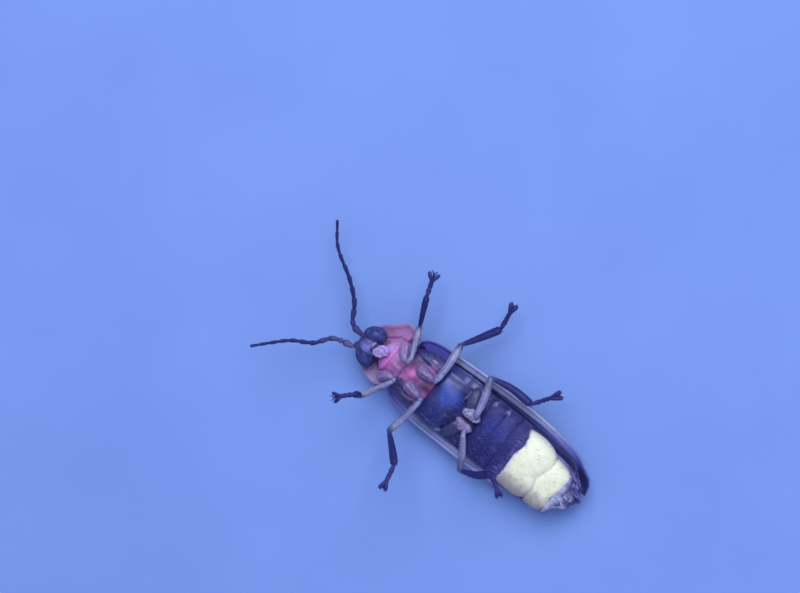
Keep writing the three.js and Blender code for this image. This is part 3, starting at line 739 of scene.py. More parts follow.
def slice_of_trunk(front, rear, tuck=0.1, lip=0.05, drop=0.07, bulges=(0.04, 0.04), waves=(None, None),
                   bottom=0.42, relief=None, rows=90, sides=180, width=1.0, shift=0.0, swell=0.0):
    """One plate ring of the trunk. Its front edge lies under the ring before it and its rear edge ends in a
    rounded lip. Bulges say how far it narrows to the front and rear edge, waves are tables of Y and X that
    bend those edges, and relief is a function of the points that returns how far the surface rises."""
    x = lerp(front + tuck, rear, fine_steps(rows, 0.75))
    out = 2 * np.clip((front - x) / (front - rear), 0, 1) - 1
    scale = 1 - np.where(out < 0, bulges[0], bulges[1]) * np.abs(out) ** 4
    scale *= 1 - 0.07 * smooth((x - front + 0.05) / (tuck + 0.05))
    scale *= 1 - drop + drop * edge_round(x - rear, lip)
    closing = np.array([0.8, 0.4, 0.02])
    x = np.concatenate((np.full(3, front + tuck), x, np.full(3, rear + 0.03)))
    scale = np.concatenate((scale[0] * closing[::-1], scale, scale[-1] * closing))
    angle = around(sides) - np.pi / 2
    power = 2 / station(x, 4)[:, None]
    across, rise = squared(np.cos(angle), power), squared(np.sin(angle), power)
    middle = np.interp(scale, (0, 0.9), (1.2, TRUNK_MIDDLE))[:, None]
    top = (station(x, 3)[:, None] - TRUNK_MIDDLE) * np.where(scale > 0.85, 1, scale)[:, None]
    top = top * np.interp(scale, (0.9, 1), (0.9, 1))[:, None]
    depth = (TRUNK_MIDDLE - bottom) * np.minimum(scale, 1)[:, None]
    half = (station(x, 2) * scale * width)[:, None]
    points = grid_of(x[:, None], station(x, 1)[:, None] + shift + half * across,
                     middle + np.where(rise > 0, top, depth) * rise)
    upper = smooth((points[..., 2] - 1.2) / 0.5)
    if relief is not None:
        body = smooth((np.minimum(points[..., 0] - rear, front + tuck - points[..., 0])) / 0.04)
        points[..., 2] += relief(points) * upper * body
    if swell:
        points[..., 2] += swell * upper * rounded(out_of(points, front, rear), 2)
    to_rear = np.clip((front - points[..., 0]) / (front - rear), 0, 1)
    for wave, share in zip(waves, ((1 - to_rear) ** 2, to_rear**2)):
        if wave is not None:
            points[..., 0] += share * read(wave, points[..., 1])
    return points


def out_of(points, front, rear):
    """How far a point lies from the middle of a slice, 1 at its edges."""
    return np.clip(np.abs(2 * (front - points[..., 0]) / (front - rear) - 1), 0, 1)


def lies_back(points):
    """The way the down lies on the trunk: towards the tail and a little outwards."""
    way = np.zeros(points.shape)
    way[..., 0] = -1
    way[..., 1] = 0.12 * (points[..., 1] - 0.05)
    return way


def mesothorax_relief(points):
    x, y = points[..., 0], points[..., 1] - 0.06
    keel = 0.06 * bell(y, 0, 0.16) * smooth((4.3 - x) / 0.3)
    furrow = -0.05 * bell(np.abs(y), 0.84 + 0.12 * (x - 3.6), 0.06)
    folds = 0.03 * rough(points * (0.8, 2, 1), 0.4, 2, 4)
    sockets = -0.08 * bell(np.abs(y), 0.5, 0.42) * bell(x, 3.3, 0.7)
    return keel + furrow + folds + sockets


def metathorax_relief(points):
    x, y = points[..., 0], points[..., 1] - 0.03
    middle_line = -0.035 * bell(y, 0, 0.03) * smooth((1.9 - x) / 0.6)
    side_line = -0.06 * bell(np.abs(y), 1.2 - 0.07 * (x - 1.5), 0.035)
    side_plate = 0.03 * smooth((np.abs(y) - 1.24) / 0.1)
    lobes = 0.03 * bell(np.abs(y), 0.55, 0.35)
    return middle_line + side_line + side_plate + lobes + 0.006 * rough(points, 0.35, 3)


def sternite_relief(seed):
    def relief(points):
        dents = -0.01 * bell(np.abs(points[..., 1] - 0.03), 1.1, 0.16)
        return dents + 0.008 * rough(points, 0.3, seed)
    return relief


def organ_relief(seed):
    """Low cushions and crinkles of the light organ."""
    def relief(points):
        return 0.02 * rough(points, 0.5, seed) - 0.018 * np.abs(rough(points, 0.13, seed + 1, 4))
    return relief


trunk_skins = {}


def trunk_piece(name, material, slot, node, points, hairy, **paint):
    """Makes and finishes a slice of the trunk, and keeps its skin for the down."""
    skin = Skin()
    loft(skin, points, lie=lies_back(points), hairy=hairy * smooth((points[..., 2] - 1.0) / 0.3), **paint)
    trunk_skins[name] = skin
    finish(skin.make(name, material), slot, node)


def in_outline(x, y, corners, soft):
    """1 inside an outline of X and Y corners, 0 outside it, with a soft edge."""
    corners = np.array(corners)
    nearest, inside = np.full(x.shape, np.inf), np.zeros(x.shape, bool)
    for (ax, ay), (bx, by) in zip(corners, np.roll(corners, -1, 0)):
        reach = (x - ax) * (bx - ax) + (y - ay) * (by - ay)
        along = np.clip(reach / ((bx - ax) ** 2 + (by - ay) ** 2), 0, 1)
        nearest = np.minimum(nearest, np.hypot(x - lerp(ax, bx, along), y - lerp(ay, by, along)))
        crosses = ((ay > y) != (by > y)) & (x < ax + (y - ay) * (bx - ax) / (by - ay + 1e-9))
        inside ^= crosses
    return smooth(0.5 + np.where(inside, nearest, -nearest) / soft / 2)


def spots(x, y, *places):
    """Soft oval patches, each given as X, Y, length, width and strength."""
    return np.minimum(1, sum(strength * np.exp(-(((x - px) / length) ** 4) - ((y - py) / width) ** 4)
                             for px, py, length, width, strength in places))


SHEEN_OUTLINE = (
    (2.55, -1.08), (2.42, 0.05), (1.96, 0.22), (1.8, -0.08), (1.27, 0.0), (1.56, -0.8), (2.04, -0.84),
)


def mesothorax():
    points = slice_of_trunk(4.46, 2.86, tuck=0.08, relief=mesothorax_relief, rows=100, bulges=(0.12, 0.04))
    x, y = points[..., 0], points[..., 1]
    clouds = rough(points, 0.3, 33)
    rose_half = 0.82 - np.where(y > 0, 0.4, 0.25) * smooth((x - 3.6) / 0.4)
    magenta = 0.55 * smooth(clouds / 0.5) + 0.4 * bell(np.abs(y - 0.04), 0.75, 0.18)
    blood = spots(x, y, (3.05, 0.08, 0.4, 0.28, 0.9), (3.75, 0.05, 0.18, 0.12, 0.5),
                  (4.3, -0.55, 0.12, 0.4, 0.5))
    # The bright pink spot in the middle, over the soft membrane, is a painted glow of light shining through it
    trunk_piece("mesosternum", ROSE, "rose_cuticle", "mesothorax", points, hairy=0.5,
                dusk=smooth((np.abs(y - 0.06) - rose_half + 0.15 * clouds) / 0.2), blood=blood,
                magenta=np.minimum(magenta, 1), pink=0.85 * bell(x, 4.1, 0.28) * bell(y, -0.03, 0.24),
                pale=0.6 * spots(x, y, (3.55, -1.12, 0.12, 0.05, 1), (3.6, 1.1, 0.3, 0.06, 0.7)))


def metathorax():
    points = slice_of_trunk(2.82, 0.3, tuck=0.06, lip=0.09, relief=metathorax_relief, rows=130)
    x, y = points[..., 0], points[..., 1]
    wander = 0.05 * rough(points, 0.25, 34)
    pale = spots(x + wander, y + 2 * wander, (1.34, -1.4, 0.2, 0.12, 0.7), (1.84, -1.46, 0.14, 0.1, 0.4),
                 (1.32, -0.98, 0.05, 0.2, 0.6), (1.46, 1.4, 0.12, 0.08, 0.6), (0.9, 1.1, 0.1, 0.2, 0.4))
    # The steel-blue patch inside the sheen outline is a painted sheen, standing in for a reflection
    trunk_piece("metasternum", BLACK_PLATE, "dark_cuticle", "metathorax", points, hairy=0.35,
                bloom=0.8 * in_outline(x + wander, y + wander, SHEEN_OUTLINE, 0.22),
                dusk=smooth((-y - 0.8) / 0.3) * smooth((2.6 - x) / 0.4),
                rust=0.7 * bell(y, 0.05, 0.24) * smooth((x - 2.6) / 0.15), pale=pale)


# How the light organ's edges wander: Y and how far forwards
ORGAN_FRONT = np.array([
    (-1.5, 0.2), (-1.36, 0.1), (-1.2, -0.04), (-0.74, -0.14), (-0.12, 0.0), (0.7, -0.08), (1.4, -0.06),
])
ORGAN_SEAM = np.array([
    (-1.3, -0.08), (-0.6, -0.05), (-0.34, 0.06), (0.0, 0.17), (0.2, 0.18), (0.44, 0.08), (0.8, 0.0),
    (1.5, 0.0),
])
ORGAN_REAR = np.array([
    (-1.1, 0.06), (-0.75, -0.05), (-0.3, 0.02), (0.15, 0.12), (0.42, 0.2), (0.56, 0.24), (0.7, 0.17),
    (0.97, 0.06), (1.3, 0.14),
])


def ragged(table):
    """The same edge with small uneven teeth."""
    y = np.linspace(-1.7, 1.7, 100)
    teeth = 0.03 * rough(grid_of(y, 0, 0), 0.11, 39, 2)
    return np.stack((y, read(table, y) + teeth), -1)


def belly():
    edges = {"sternite_3": (0.2, -0.62, 5), "sternite_4": (-0.62, -1.34, 6), "sternite_5": (-1.34, -2.04, 7)}
    for node, (front, rear, seed) in edges.items():
        last = node == "sternite_5"
        points = slice_of_trunk(front, rear, tuck=0.14, lip=0.05, drop=0.035, relief=sternite_relief(seed),
                                rows=60, waves=(None, ragged(ORGAN_FRONT) if last else None), swell=0.02)
        x, y = points[..., 0], points[..., 1]
        streaks = smooth((rough(points * (0.25, 1, 1), 0.09, seed, 2) - 0.1) / 0.5)
        pale = (0.9 if last else 0.3) * smooth((y + 1.2) / 0.4) * streaks * smooth((rear + 0.5 - x) / 0.4)
        fringe = smooth((rear + 0.3 - x) / 0.15) * last
        wander = 0.08 * rough(points, 0.12, 40, 2)
        white = spots(x + wander, y + wander, (0.05, -1.36, 0.09, 0.08, 0.4), (-0.65, -1.42, 0.09, 0.1, 0.5))
        # The bluish patch on the left of the middle plates is a painted sheen, where the light falls
        trunk_piece(f"belly_plate_{node[-1]}", BELLY, "dark_cuticle", node, points, hairy=1 + 1.5 * fringe,
                    pale=pale, white=white, bloom=0.5 * bell(y, -0.5, 0.5) * bell(x, -0.7, 0.7))


ORGAN_TOP = 1.5  # how high the side of a light organ's plate begins that shows
ORGAN_PORES = ((-3.0, -0.85), (-3.66, -0.33), (-2.5, 0.5), (-4.4, -0.3), (-4.55, 0.35), (-3.3, 0.9),
               (-4.2, 0.75), (-3.1, 0.55))


def light_organ(name, node, front, rear, narrowing, front_edge, rear_wave, width, shift, seed, rim_share,
                seam_share):
    """A plate of the light organ. The rim's and the seam's share say how strongly its front edge is tinted."""
    points = slice_of_trunk(front, rear, tuck=0.1, lip=0.1, drop=0.035, bulges=(0.05, narrowing),
                            waves=(ragged(front_edge), rear_wave), rows=190, sides=280,
                            relief=organ_relief(seed), width=width, shift=shift, swell=0.05)
    x, y = points[..., 0], points[..., 1]
    pore = sum(bell(np.hypot(x - px, y - py), 0, 0.028) for px, py in ORGAN_PORES)
    points[..., 2] -= 0.02 * pore * (points[..., 2] > ORGAN_TOP)
    clouds = rough(points, 0.4, 35)
    past_edge = x - (front + read(front_edge, y))
    frost = smooth((past_edge + 0.35) / 0.3) * smooth((rough(points, 0.07, 43, 2) + 0.05) / 0.2)
    specks = 0.25 * smooth((rough(points, 0.045, 41, 1) - 0.42) / 0.12)
    trunk_piece(name, LIGHT_ORGAN, "light_organ", node, points, hairy=0.04,
                shade=smooth((y - 0.35 + 0.2 * clouds) / 0.9) * 0.9,
                rim=np.maximum(0.4 * smooth((past_edge + 0.12) / 0.1), 0.45 * frost) * rim_share,
                seam=smooth((past_edge + 0.06) / 0.06) * seam_share,
                pore=np.minimum(0.7 * pore + specks, 1) * (points[..., 2] > ORGAN_TOP))


# The fore body between the shield and the front legs
PROSTERNUM = np.array([
    (4.44, 0.9, 1.86), (4.6, 1.02, 2.02), (5.0, 1.08, 2.1), (5.35, 0.95, 2.05), (5.55, 0.68, 1.92),
    (5.75, 0.46, 1.74),
])


def prosternum():
    front, rear, centre = 5.8, 4.36, 0.18
    x = lerp(rear, front, fine_steps(90, 0.8))
    closing = np.array([0.03, 0.6])
    scale = 0.85 + 0.15 * smooth(np.minimum(x - rear, front - x) / 0.14)
    scale = np.concatenate((closing, scale, closing[::-1]))
    x = np.concatenate((np.full(2, x[0]), x, np.full(2, x[-1])))
    angle = around(150) - np.pi / 2
    across, rise = squared(np.cos(angle), 0.83), squared(np.sin(angle), 0.83)
    middle, bottom = 1.35, 0.45
    top = read(PROSTERNUM, x, 2)[:, None] - middle
    half = (read(PROSTERNUM, x, 1) * scale)[:, None]
    high = middle + np.where(rise > 0, top, middle - bottom) * rise * scale[:, None]
    points = grid_of(x[:, None], centre + half * across, high)
    x, y, upper = points[..., 0], points[..., 1] - centre, smooth((points[..., 2] - 1.5) / 0.3)
    ridge = 0.06 * bell(x, 5.38 - 0.1 * y**2, 0.14)
    hollow = -0.09 * bell(x, 5.18, 0.1) * bell(np.abs(y), 0.42, 0.35)
    keel = 0.09 * bell(y, 0, 0.1) * smooth((5.2 - x) / 0.3)
    points[..., 2] += upper * (ridge + hollow + keel + 0.03 * rough(points * (1, 1.8, 1), 0.35, 8, 4))
    clouds = smooth(rough(points, 0.25, 36) / 0.5)
    band = 0.85 * bell(x, 5.36 + 0.1 * y, 0.19) * smooth((0.7 - y) / 0.3)
    skin = Skin()
    # The pale on the left side is painted light and the magenta on the right side painted shade, with the
    # light falling from the left
    loft(skin, points, lie=lies_back(points), hairy=0.4 * upper, pink=0.9 * band,
         pale=0.7 * bell(x, 5.62, 0.14) + 0.5 * smooth((-0.1 - y) / 0.4),
         magenta=np.minimum(1, 0.5 * clouds + 0.8 * smooth((y - 0.35) / 0.4)))
    trunk_skins["prosternum_plate"] = skin
    finish(skin.make("prosternum_plate", ROSE), "rose_cuticle", "prosternum")


# Tail end and the folded hind wings
TAIL_REAR = np.array([
    (-1.0, 0.5), (-0.6, 0.3), (-0.25, 0.22), (-0.05, 0.06), (0.2, -0.06), (0.5, -0.02), (0.8, 0.06),
    (1.2, 0.4),
])


def streaks_along(points, size, seed, start):
    """Irregular streaks that run along the body, from 0 to 1."""
    return smooth((rough(points * (0.3, 1, 1), size, seed, 3) - start) / 0.2)


def tail_relief(points):
    return 0.05 * rough(points * (0.35, 1, 1), 0.18, 15, 2) * smooth((-4.95 - points[..., 0]) / 0.2)


def tail_end():
    points = slice_of_trunk(-4.74, -5.68, tuck=0.02, lip=0.2, bulges=(0.24, 0.22), waves=(None, TAIL_REAR),
                            bottom=0.9, relief=tail_relief, rows=110, sides=200, shift=0.12)
    x, y = points[..., 0], points[..., 1]
    stains = spots(x, y, (-5.52, 0.27, 0.2, 0.16, 0.9), (-5.32, -0.37, 0.2, 0.14, 0.8),
                   (-5.78, 0.3, 0.14, 0.3, 0.9))
    streak = np.maximum(0.85 * streaks_along(points, 0.12, 17, 0.1), 0.4 * smooth((0.1 - y) / 0.3))
    streak *= 0.3 + 0.7 * smooth((points[..., 2] - 1.2) / 0.3)
    trunk_piece("tail_end", TAIL, "tail_cuticle", "tail_tip", points, hairy=0.6,
                streak=np.maximum(streak * smooth((-5.0 - x) / 0.15), stains),
                pale=0.9 * streaks_along(points, 0.15, 18, 0.0))


def hind_wings():
    """The folded hind wings, pleated along the body and crumpled at their tips."""
    x = lerp(3.2, -5.74, fine_steps(210, 0.6))[:, None]
    share = np.linspace(-1, 1, 150)[None, :]
    half = case_half(x) - 0.38 - 0.17 * smooth((-4.6 - x) / 1.0)
    away = share * np.maximum(half, 0.05)
    lining = lerp(case_back(x), case_rim(x), arch(np.abs(share) * 0.9, CASE_FLAT)) + CASE_WALL
    folds = np.abs(np.sin(away * 5.5 + 0.25 * x))
    pleats = 0.05 * folds + 0.035 * np.sin(away * 19 + x)
    centre = CASE_SWAY * (x - CASE_SWAY_CENTRE)
    under = grid_of(x, centre + away, lining + 0.11 + pleats)
    at_tip = smooth((-4.6 - under[..., 0]) / 0.7)
    crumple = np.abs(rough(under * (0.6, 1, 0), 0.22, 21, 3))
    under[..., 2] += at_tip * (0.3 * crumple + 0.35 * bell(under[..., 1], -0.5, 0.55))
    under[..., 0] -= 0.15 * at_tip * smooth((-5.3 - under[..., 0]) / 0.4) * (crumple - 0.2)
    over = under.copy()
    over[..., 2] += 0.018
    # Pale along the crests of the pleats is a painted highlight
    pleat_highlight = smooth((folds - 0.9) / 0.08)
    light = np.maximum(0.6 * pleat_highlight, 0.9 * at_tip * streaks_along(under, 0.14, 22, 0.02))
    dusk = 0.6 * smooth((-3.2 - x) / 1.2)
    skin = Skin()
    plate(skin, under, over, pale=(light, light), dusk=(dusk, dusk))
    finish(skin.make("folded_hind_wings", WING_MEMBRANE), "wing_case")


# Head
FORWARD = np.array((math.cos(head_turn), math.sin(head_turn), 0))
RIGHTWARD = np.array((-math.sin(head_turn), math.cos(head_turn), 0))


def on_head(points):
    """From the head's own axes, measured from its middle, to the body's."""
    points = np.asarray(points, float)
    upward = np.array((0, 0, 1.0))
    return (np.array(HEAD["centre"]) + points[..., :1] * FORWARD + points[..., 1:2] * RIGHTWARD
            + points[..., 2:] * upward)


def head_capsule():
    rx, ry, rz = HEAD["radii"]
    turn = np.linspace(0.02, np.pi - 0.02, 110)[:, None]
    angle = around(140)[None, :]
    out = squared(np.sin(turn), 0.72)
    local = grid_of((rx + 0.04) * squared(np.cos(turn), 0.85),
                    (ry - 0.2) * out * squared(np.cos(angle), 0.9), rz * out * np.sin(angle))
    x, y, z = (local[..., k].copy() for k in range(3))
    under = smooth(z / 0.4)
    hollow = -0.07 * bell(y, -0.02, 0.2) * bell(x, 0.22, 0.22) * under
    brows = 0.05 * bell(np.abs(y), 0.3, 0.1) * bell(x, 0.25, 0.3)
    local[..., 2] += hollow + brows * np.sign(z)
    local *= (1 + 0.02 * rough(local, 0.13, 31))[..., None]
    points = on_head(local)
    skin = Skin()
    face = in_outline(x, y, ((0.5, 0.02), (0.1, 0.3), (-0.35, 0.24), (-0.35, -0.24), (0.1, -0.34)), 0.2)
    face *= 0.75 + 0.25 * rough(local, 0.12, 46)
    loft(skin, points, lie=np.broadcast_to(-FORWARD, points.shape), hairy=smooth((0.42 - np.abs(y)) / 0.1),
         dusk=1 - face, pale=0.6 * bell(x, 0.1, 0.25) * bell(y, 0, 0.2) * under)
    for name, side in SIDES.items():
        root = np.array(FEELERS[name][0])
        inside = on_head((0.1, side * 0.16, 0.12))
        limb(skin, [inside, lerp(inside, root, 0.6), root - (0.1, 0, 0.01)],
             [(0, 0.3), (0.6, 0.26), (1, 0.17)], rings=30, sides=36,
             dusk=lambda t: smooth((t - 0.3) / 0.4), hairy=lambda t: smooth((t - 0.4) / 0.2))
    return skin


# The mouthparts' outline: X, then the Y of their left and right edge
MOUTH_EDGES = np.array([
    (5.46, 0.0, 0.1), (5.54, -0.22, 0.12), (5.7, -0.3, 0.3), (5.95, -0.26, 0.36), (6.1, -0.08, 0.34),
    (6.22, 0.12, 0.26),
])
MOUTH_HEIGHT = 2.1
MANDIBLES = (
    [(6.07, -0.24, 2.2), (6.15, -0.16, 2.31), (6.2, -0.02, 2.35), (6.2, 0.1, 2.35)],
    [(6.22, 0.32, 2.18), (6.27, 0.26, 2.28), (6.26, 0.16, 2.32), (6.23, 0.08, 2.33)],
)
PALPS = (  # each palp's route and how lilac it is
    ([(6.1, -0.06, 2.27), (6.02, -0.17, 2.33), (5.88, -0.22, 2.33), (5.72, -0.2, 2.31), (5.54, -0.1, 2.24)],
     0.85),
    ([(6.16, 0.2, 2.27), (6.09, 0.28, 2.32), (5.96, 0.31, 2.31), (5.82, 0.28, 2.29), (5.66, 0.18, 2.22)],
     0.3),
)
PALP_SHAPE = [(0, 0.045), (0.12, 0.055), (0.2, 0.046), (0.3, 0.06), (0.42, 0.05), (0.52, 0.062),
              (0.62, 0.052), (0.74, 0.08), (0.88, 0.085), (1, 0.06)]
PALP_JOINTS = (0.2, 0.42, 0.62)


def mouth():
    """Maxillae and labium as one broad plate with their palps on it, behind the mandibles and labrum."""
    skin = Skin()
    x = lerp(5.46, 6.22, fine_steps(60, 0.7))[:, None]
    left, right = (read(MOUTH_EDGES, x, column) for column in (1, 2))
    angle = around(90)[None, :]
    close = edge_round(np.minimum(x - 5.44, 6.24 - x), 0.1)
    y = (left + right) / 2 + (right - left) / 2 * close * squared(np.cos(angle), 0.8)
    z = MOUTH_HEIGHT + 0.2 * close * np.sin(angle) + 0.16 * (x - 5.8)
    points = grid_of(x, y, z)
    middle = points[..., 1] - 0.02
    grooves = bell(np.abs(middle), 0.13, 0.03) + bell(middle, 0, 0.02)
    points[..., 2] += (0.03 * rough(points, 0.2, 47, 2) - 0.012 * grooves) * (np.sin(angle) > 0)
    bright = smooth((0.12 - middle) / 0.36)
    loft(skin, points, lilac=0.35 + 0.6 * bright, pink=0.7 * (1 - bright) * smooth((6.1 - x) / 0.4),
         mauve=0.3 * grooves * (1 - bright))
    limb(skin, [(6.28, -0.14, 2.14), (6.33, 0.08, 2.18), (6.27, 0.29, 2.14)],
         [(0, 0.05), (0.5, 0.09), (1, 0.05)], flat=0.5, mauve=0.4, rings=24)
    for route in MANDIBLES:
        limb(skin, route, [(0, 0.06), (0.5, 0.045), (1, 0.01)], flat=0.7, black=1, rings=40)
    for route, lilac in PALPS:
        limb(skin, route, PALP_SHAPE, flat=0.75, rings=90, sides=24, bumps=0.05, seed=48,
             lilac=lambda t: lilac - 0.3 * sum(bell(t, joint, 0.03) for joint in PALP_JOINTS),
             pink=0.5 * (0.9 - lilac))
    return skin


# Feelers: a long scape, a small pedicel and nine segments that widen towards their ends
FEELER_SEGMENTS = 11
SCAPE_SHARE, PEDICEL_SHARE = 0.11, 0.045
FEELER_RADIUS, FEELER_TIP_RADIUS = 0.14, 0.07


def feeler(name):
    route = [np.array(place) for place in FEELERS[name]]
    route[0] = route[0] - (0.12, 0, 0.01)
    points, _, shares, _ = along_curve(route, 400, 0)
    rest = (1 - SCAPE_SHARE - PEDICEL_SHARE) / (FEELER_SEGMENTS - 2)
    cuts = [0, SCAPE_SHARE] + [SCAPE_SHARE + PEDICEL_SHARE + rest * i for i in range(FEELER_SEGMENTS - 1)]
    cuts[-1] = 1
    skin = Skin()
    for i, (start, end) in enumerate(zip(cuts, cuts[1:])):
        wide = lerp(FEELER_RADIUS, FEELER_TIP_RADIUS, (i / (FEELER_SEGMENTS - 1)) ** 1.1)
        places = np.linspace(start - (0.006 if i else 0), end + 0.003, 5)
        part = np.stack([np.interp(places, shares, points[:, k]) for k in range(3)], -1)
        shape = [(0, 0.62 * wide), (0.1, 0.7 * wide), (0.75, wide), (0.95, 0.93 * wide), (1, 0.75 * wide)]
        if i == 0:
            shape = [(0, 0.6 * wide), (0.12, 0.72 * wide), (0.7, 1.15 * wide), (1, 0.9 * wide)]
        lightness = 0.85 * max(0, 1 - i / 4) if name == "right" else 0.35 * max(0, 1 - i / 3)
        limb(skin, part, shape, flat=0.82, rings=26, sides=22, bumps=0.03, seed=40 + i,
             pale=lambda t: lightness * (1 - 0.6 * smooth((t - 0.7) / 0.3)), hairy=1)
    return skin


# Legs
def direction(side, turn, rise):
    a, b = math.radians(turn), math.radians(rise)
    return np.array((math.sin(a) * math.cos(b), side * math.cos(a) * math.cos(b), math.sin(b)))


def leg_joints(pair, name):
    """Hip, knee, ankle and the foot's end."""
    x, y, z = LEGS[pair]["hip"]
    places = [np.array((x, SIDES[name] * y, z))]
    for length, turn, rise in LEGS[pair][name]:
        places.append(places[-1] + length * direction(SIDES[name], turn, rise))
    return places


# Each coxa's way over the thorax to the hip, with its radii; y is measured outwards
COXAE = {
    "front": ([(5.22, 1.1, 1.9), (5.08, 0.86, 2.18), (4.9, 0.64, 2.38), (4.62, 0.5, 2.52)],
              [(0, 0.2), (0.3, 0.25), (0.65, 0.22), (0.9, 0.15), (1, 0.12)]),
    "middle": ([(4.08, 0.46, 1.98), (3.76, 0.5, 2.18), (3.4, 0.53, 2.32), (3.02, 0.55, 2.43)],
               [(0, 0.2), (0.22, 0.32), (0.5, 0.29), (0.8, 0.19), (1, 0.12)]),
}
HIND_PLATE_HEIGHT = 2.1
# The plate of a hind coxa: X, then how far out its inner and outer edge lie
HIND_PLATE = np.array([
    (0.14, 0.24, 0.34), (0.24, 0.14, 0.46), (0.4, 0.06, 0.58), (0.66, 0.05, 0.64), (0.9, 0.05, 0.62),
    (1.06, 0.08, 0.42), (1.14, 0.16, 0.28),
])
FOOT_SHARES = (0.27, 0.15, 0.12, 0.1, 0.36)
FEMUR_SHAPE = [(0, 0.12), (0.05, 0.145), (0.3, 0.18), (0.6, 0.19), (0.86, 0.165), (1, 0.13)]
TIBIA_SHAPE = [(0, 0.1), (0.06, 0.115), (0.3, 0.155), (0.65, 0.19), (0.93, 0.195), (1, 0.13)]
# The long lobes of a foot's fourth segment: their share of the foot's length and how far each turns out
LOBE_SHARE = 0.4
LOBE_SPREAD = {"front": 0.55, "middle": 0.32, "hind": 0.3}
CLAW_SPREAD = 0.55  # and how far each claw does
KNEE_DEPTH = 0.03  # how far past the knee's middle a tibia starts
FOOT_ARCH = 0.05  # how far a foot's middle sinks below the line from its root to its end


def hind_plate(skin, side, cream, pink):
    """A hind coxa's flat angular plate, with a furrow where it meets the other's."""
    x = lerp(0.14, 1.14, fine_steps(64, 0.6))[:, None]
    inner, outer = (read(HIND_PLATE, x, column) for column in (1, 2))
    angle = around(110)[None, :]
    close = edge_round(np.minimum(x - 0.13, 1.15 - x), 0.08)
    y = (inner + outer) / 2 + (outer - inner) / 2 * (0.4 + 0.6 * close) * squared(np.cos(angle), 0.6)
    z = HIND_PLATE_HEIGHT + 0.2 * close * squared(np.sin(angle), 0.5)
    z = z - 0.16 * (y - 0.2) - 0.1 * smooth((x - 0.7) / 0.5)
    points = grid_of(x, side * y, z)
    grain = rough(points * (1, 0.6, 1), 0.15, 52 + side, 4)
    points[..., 2] += 0.06 * grain
    above = smooth((points[..., 2] - HIND_PLATE_HEIGHT) / 0.1)
    furrow = smooth((inner + 0.1 - y) / 0.06)
    stain = smooth(0.5 + rough(points, 0.45, 55 + side))
    loft(skin, points, cream=cream * (1 - 0.3 * stain), pink=pink, hairy=0.3,
         mauve=np.maximum(0.4 * stain, 0.7 * (1 - above)),
         dark=np.maximum(0.85 * furrow, 0.35 * smooth(-grain / 0.4)))


def coxa(pair, name):
    side = SIDES[name]
    drift = 0.08 if pair == "front" else 0
    place = lambda x, y, z: np.array((x, side * y + drift, z))
    hip = leg_joints(pair, name)[0]
    skin = Skin()
    if pair == "hind":
        cream, pink = (0.3, 0.12) if name == "left" else (0.2, 0.4)
        hind_plate(skin, side, cream, pink)
        wing = [place(0.84, 0.35, 2.1), place(0.92, 0.75, 2.08), place(1.08, 1.18, 1.97),
                place(1.22, 1.46, 1.74)]
        limb(skin, wing, [(0, 0.24), (0.35, 0.3), (0.75, 0.24), (1, 0.12)], flat=0.36, bumps=0.07, seed=53,
             flutes=(3, 0.08), rings=60, sides=48, dark=0.92, hairy=0.5)
        end = place(0.44, 0.4, 2.2)
    else:
        route, shape = COXAE[pair]
        cream, pink, mauve, dark = {"front": (0.15, 0.5, 0.5, 0.05), "middle": (0.12, 0.3, 0.7, 0.28)}[pair]
        limb(skin, [place(*p) for p in route], shape, flat=0.78, bumps=0.1, seed=50, flutes=(7, 0.08),
             rings=60, sides=60, cream=cream, mauve=mauve, dark=dark, hairy=0.3,
             pink=lambda t: np.maximum(0.9 * smooth((0.55 - t) / 0.4), pink * (1 - 0.5 * t)))
        end = place(*route[-1])
    way = leg_joints(pair, name)[1] - hip
    way /= np.linalg.norm(way)
    limb(skin, [end, (end + hip) / 2 + (0, 0, 0.01), hip + way * 0.2], [(0, 0.1), (0.5, 0.13), (1, 0.13)],
         flat=0.85, rings=26, sides=24, hairy=0.6,
         mauve=lambda t: 0.4 * (1 - t), dark=lambda t: 0.35 * bell(t, 0.55, 0.12))
    return skin


def femur(pair, name):
    hip, knee, ankle, _ = leg_joints(pair, name)
    plane = np.cross(knee - hip, ankle - knee)
    way = (knee - hip) / np.linalg.norm(knee - hip)
    skin = Skin()
    bow = 0.05 * np.cross(plane / np.linalg.norm(plane), way)
    dark, dark_from = (0.6, 0.5) if pair == "hind" else (0.9, 0.76)
    cream = 0.35 if pair == "front" else 0.1
    limb(skin, [hip + way * 0.05, (hip + knee) / 2 + bow, knee + way * 0.08], FEMUR_SHAPE, flat=0.78,
         up=plane, bumps=0.05, seed=60, flutes=(5, 0.05), rings=64, sides=40, pink=0.05, hairy=0.8,
         cream=lambda t: 0.35 * bell(t, 0.75, 0.14) + cream, mauve=lambda t: 0.3 * bell(t, 0.3, 0.25),
         dark=lambda t: dark * smooth((t - dark_from) / 0.22))
    return skin


def tibia(pair, name):
    hip, knee, ankle, _ = leg_joints(pair, name)
    plane = np.cross(knee - hip, ankle - knee)
    way = (ankle - knee) / np.linalg.norm(ankle - knee)
    inward = np.cross(plane / np.linalg.norm(plane), way)
    skin = Skin()
    start = knee + way * KNEE_DEPTH
    middle = (knee + ankle) / 2 + (-0.12 if pair == "hind" else 0.02) * inward
    limb(skin, [start, middle, ankle + way * 0.04], TIBIA_SHAPE, flat=0.72, up=plane, bumps=0.035, seed=70,
         rings=64, sides=32, warm=lambda t: 0.5 * (1 - t), pale=lambda t: 0.5 * bell(t, 0.05, 0.06), hairy=1)
    across = plane / np.linalg.norm(plane)
    for spread in (-1, 1):
        root = ankle - way * 0.04 + across * spread * 0.07 + inward * 0.08
        spur = [root, root + way * 0.11 + across * spread * 0.03, root + way * 0.19 + across * spread * 0.05]
        limb(skin, spur, [(0, 0.022), (0.5, 0.014), (1, 0.003)], rings=12, sides=10, warm=0.8)
    return skin


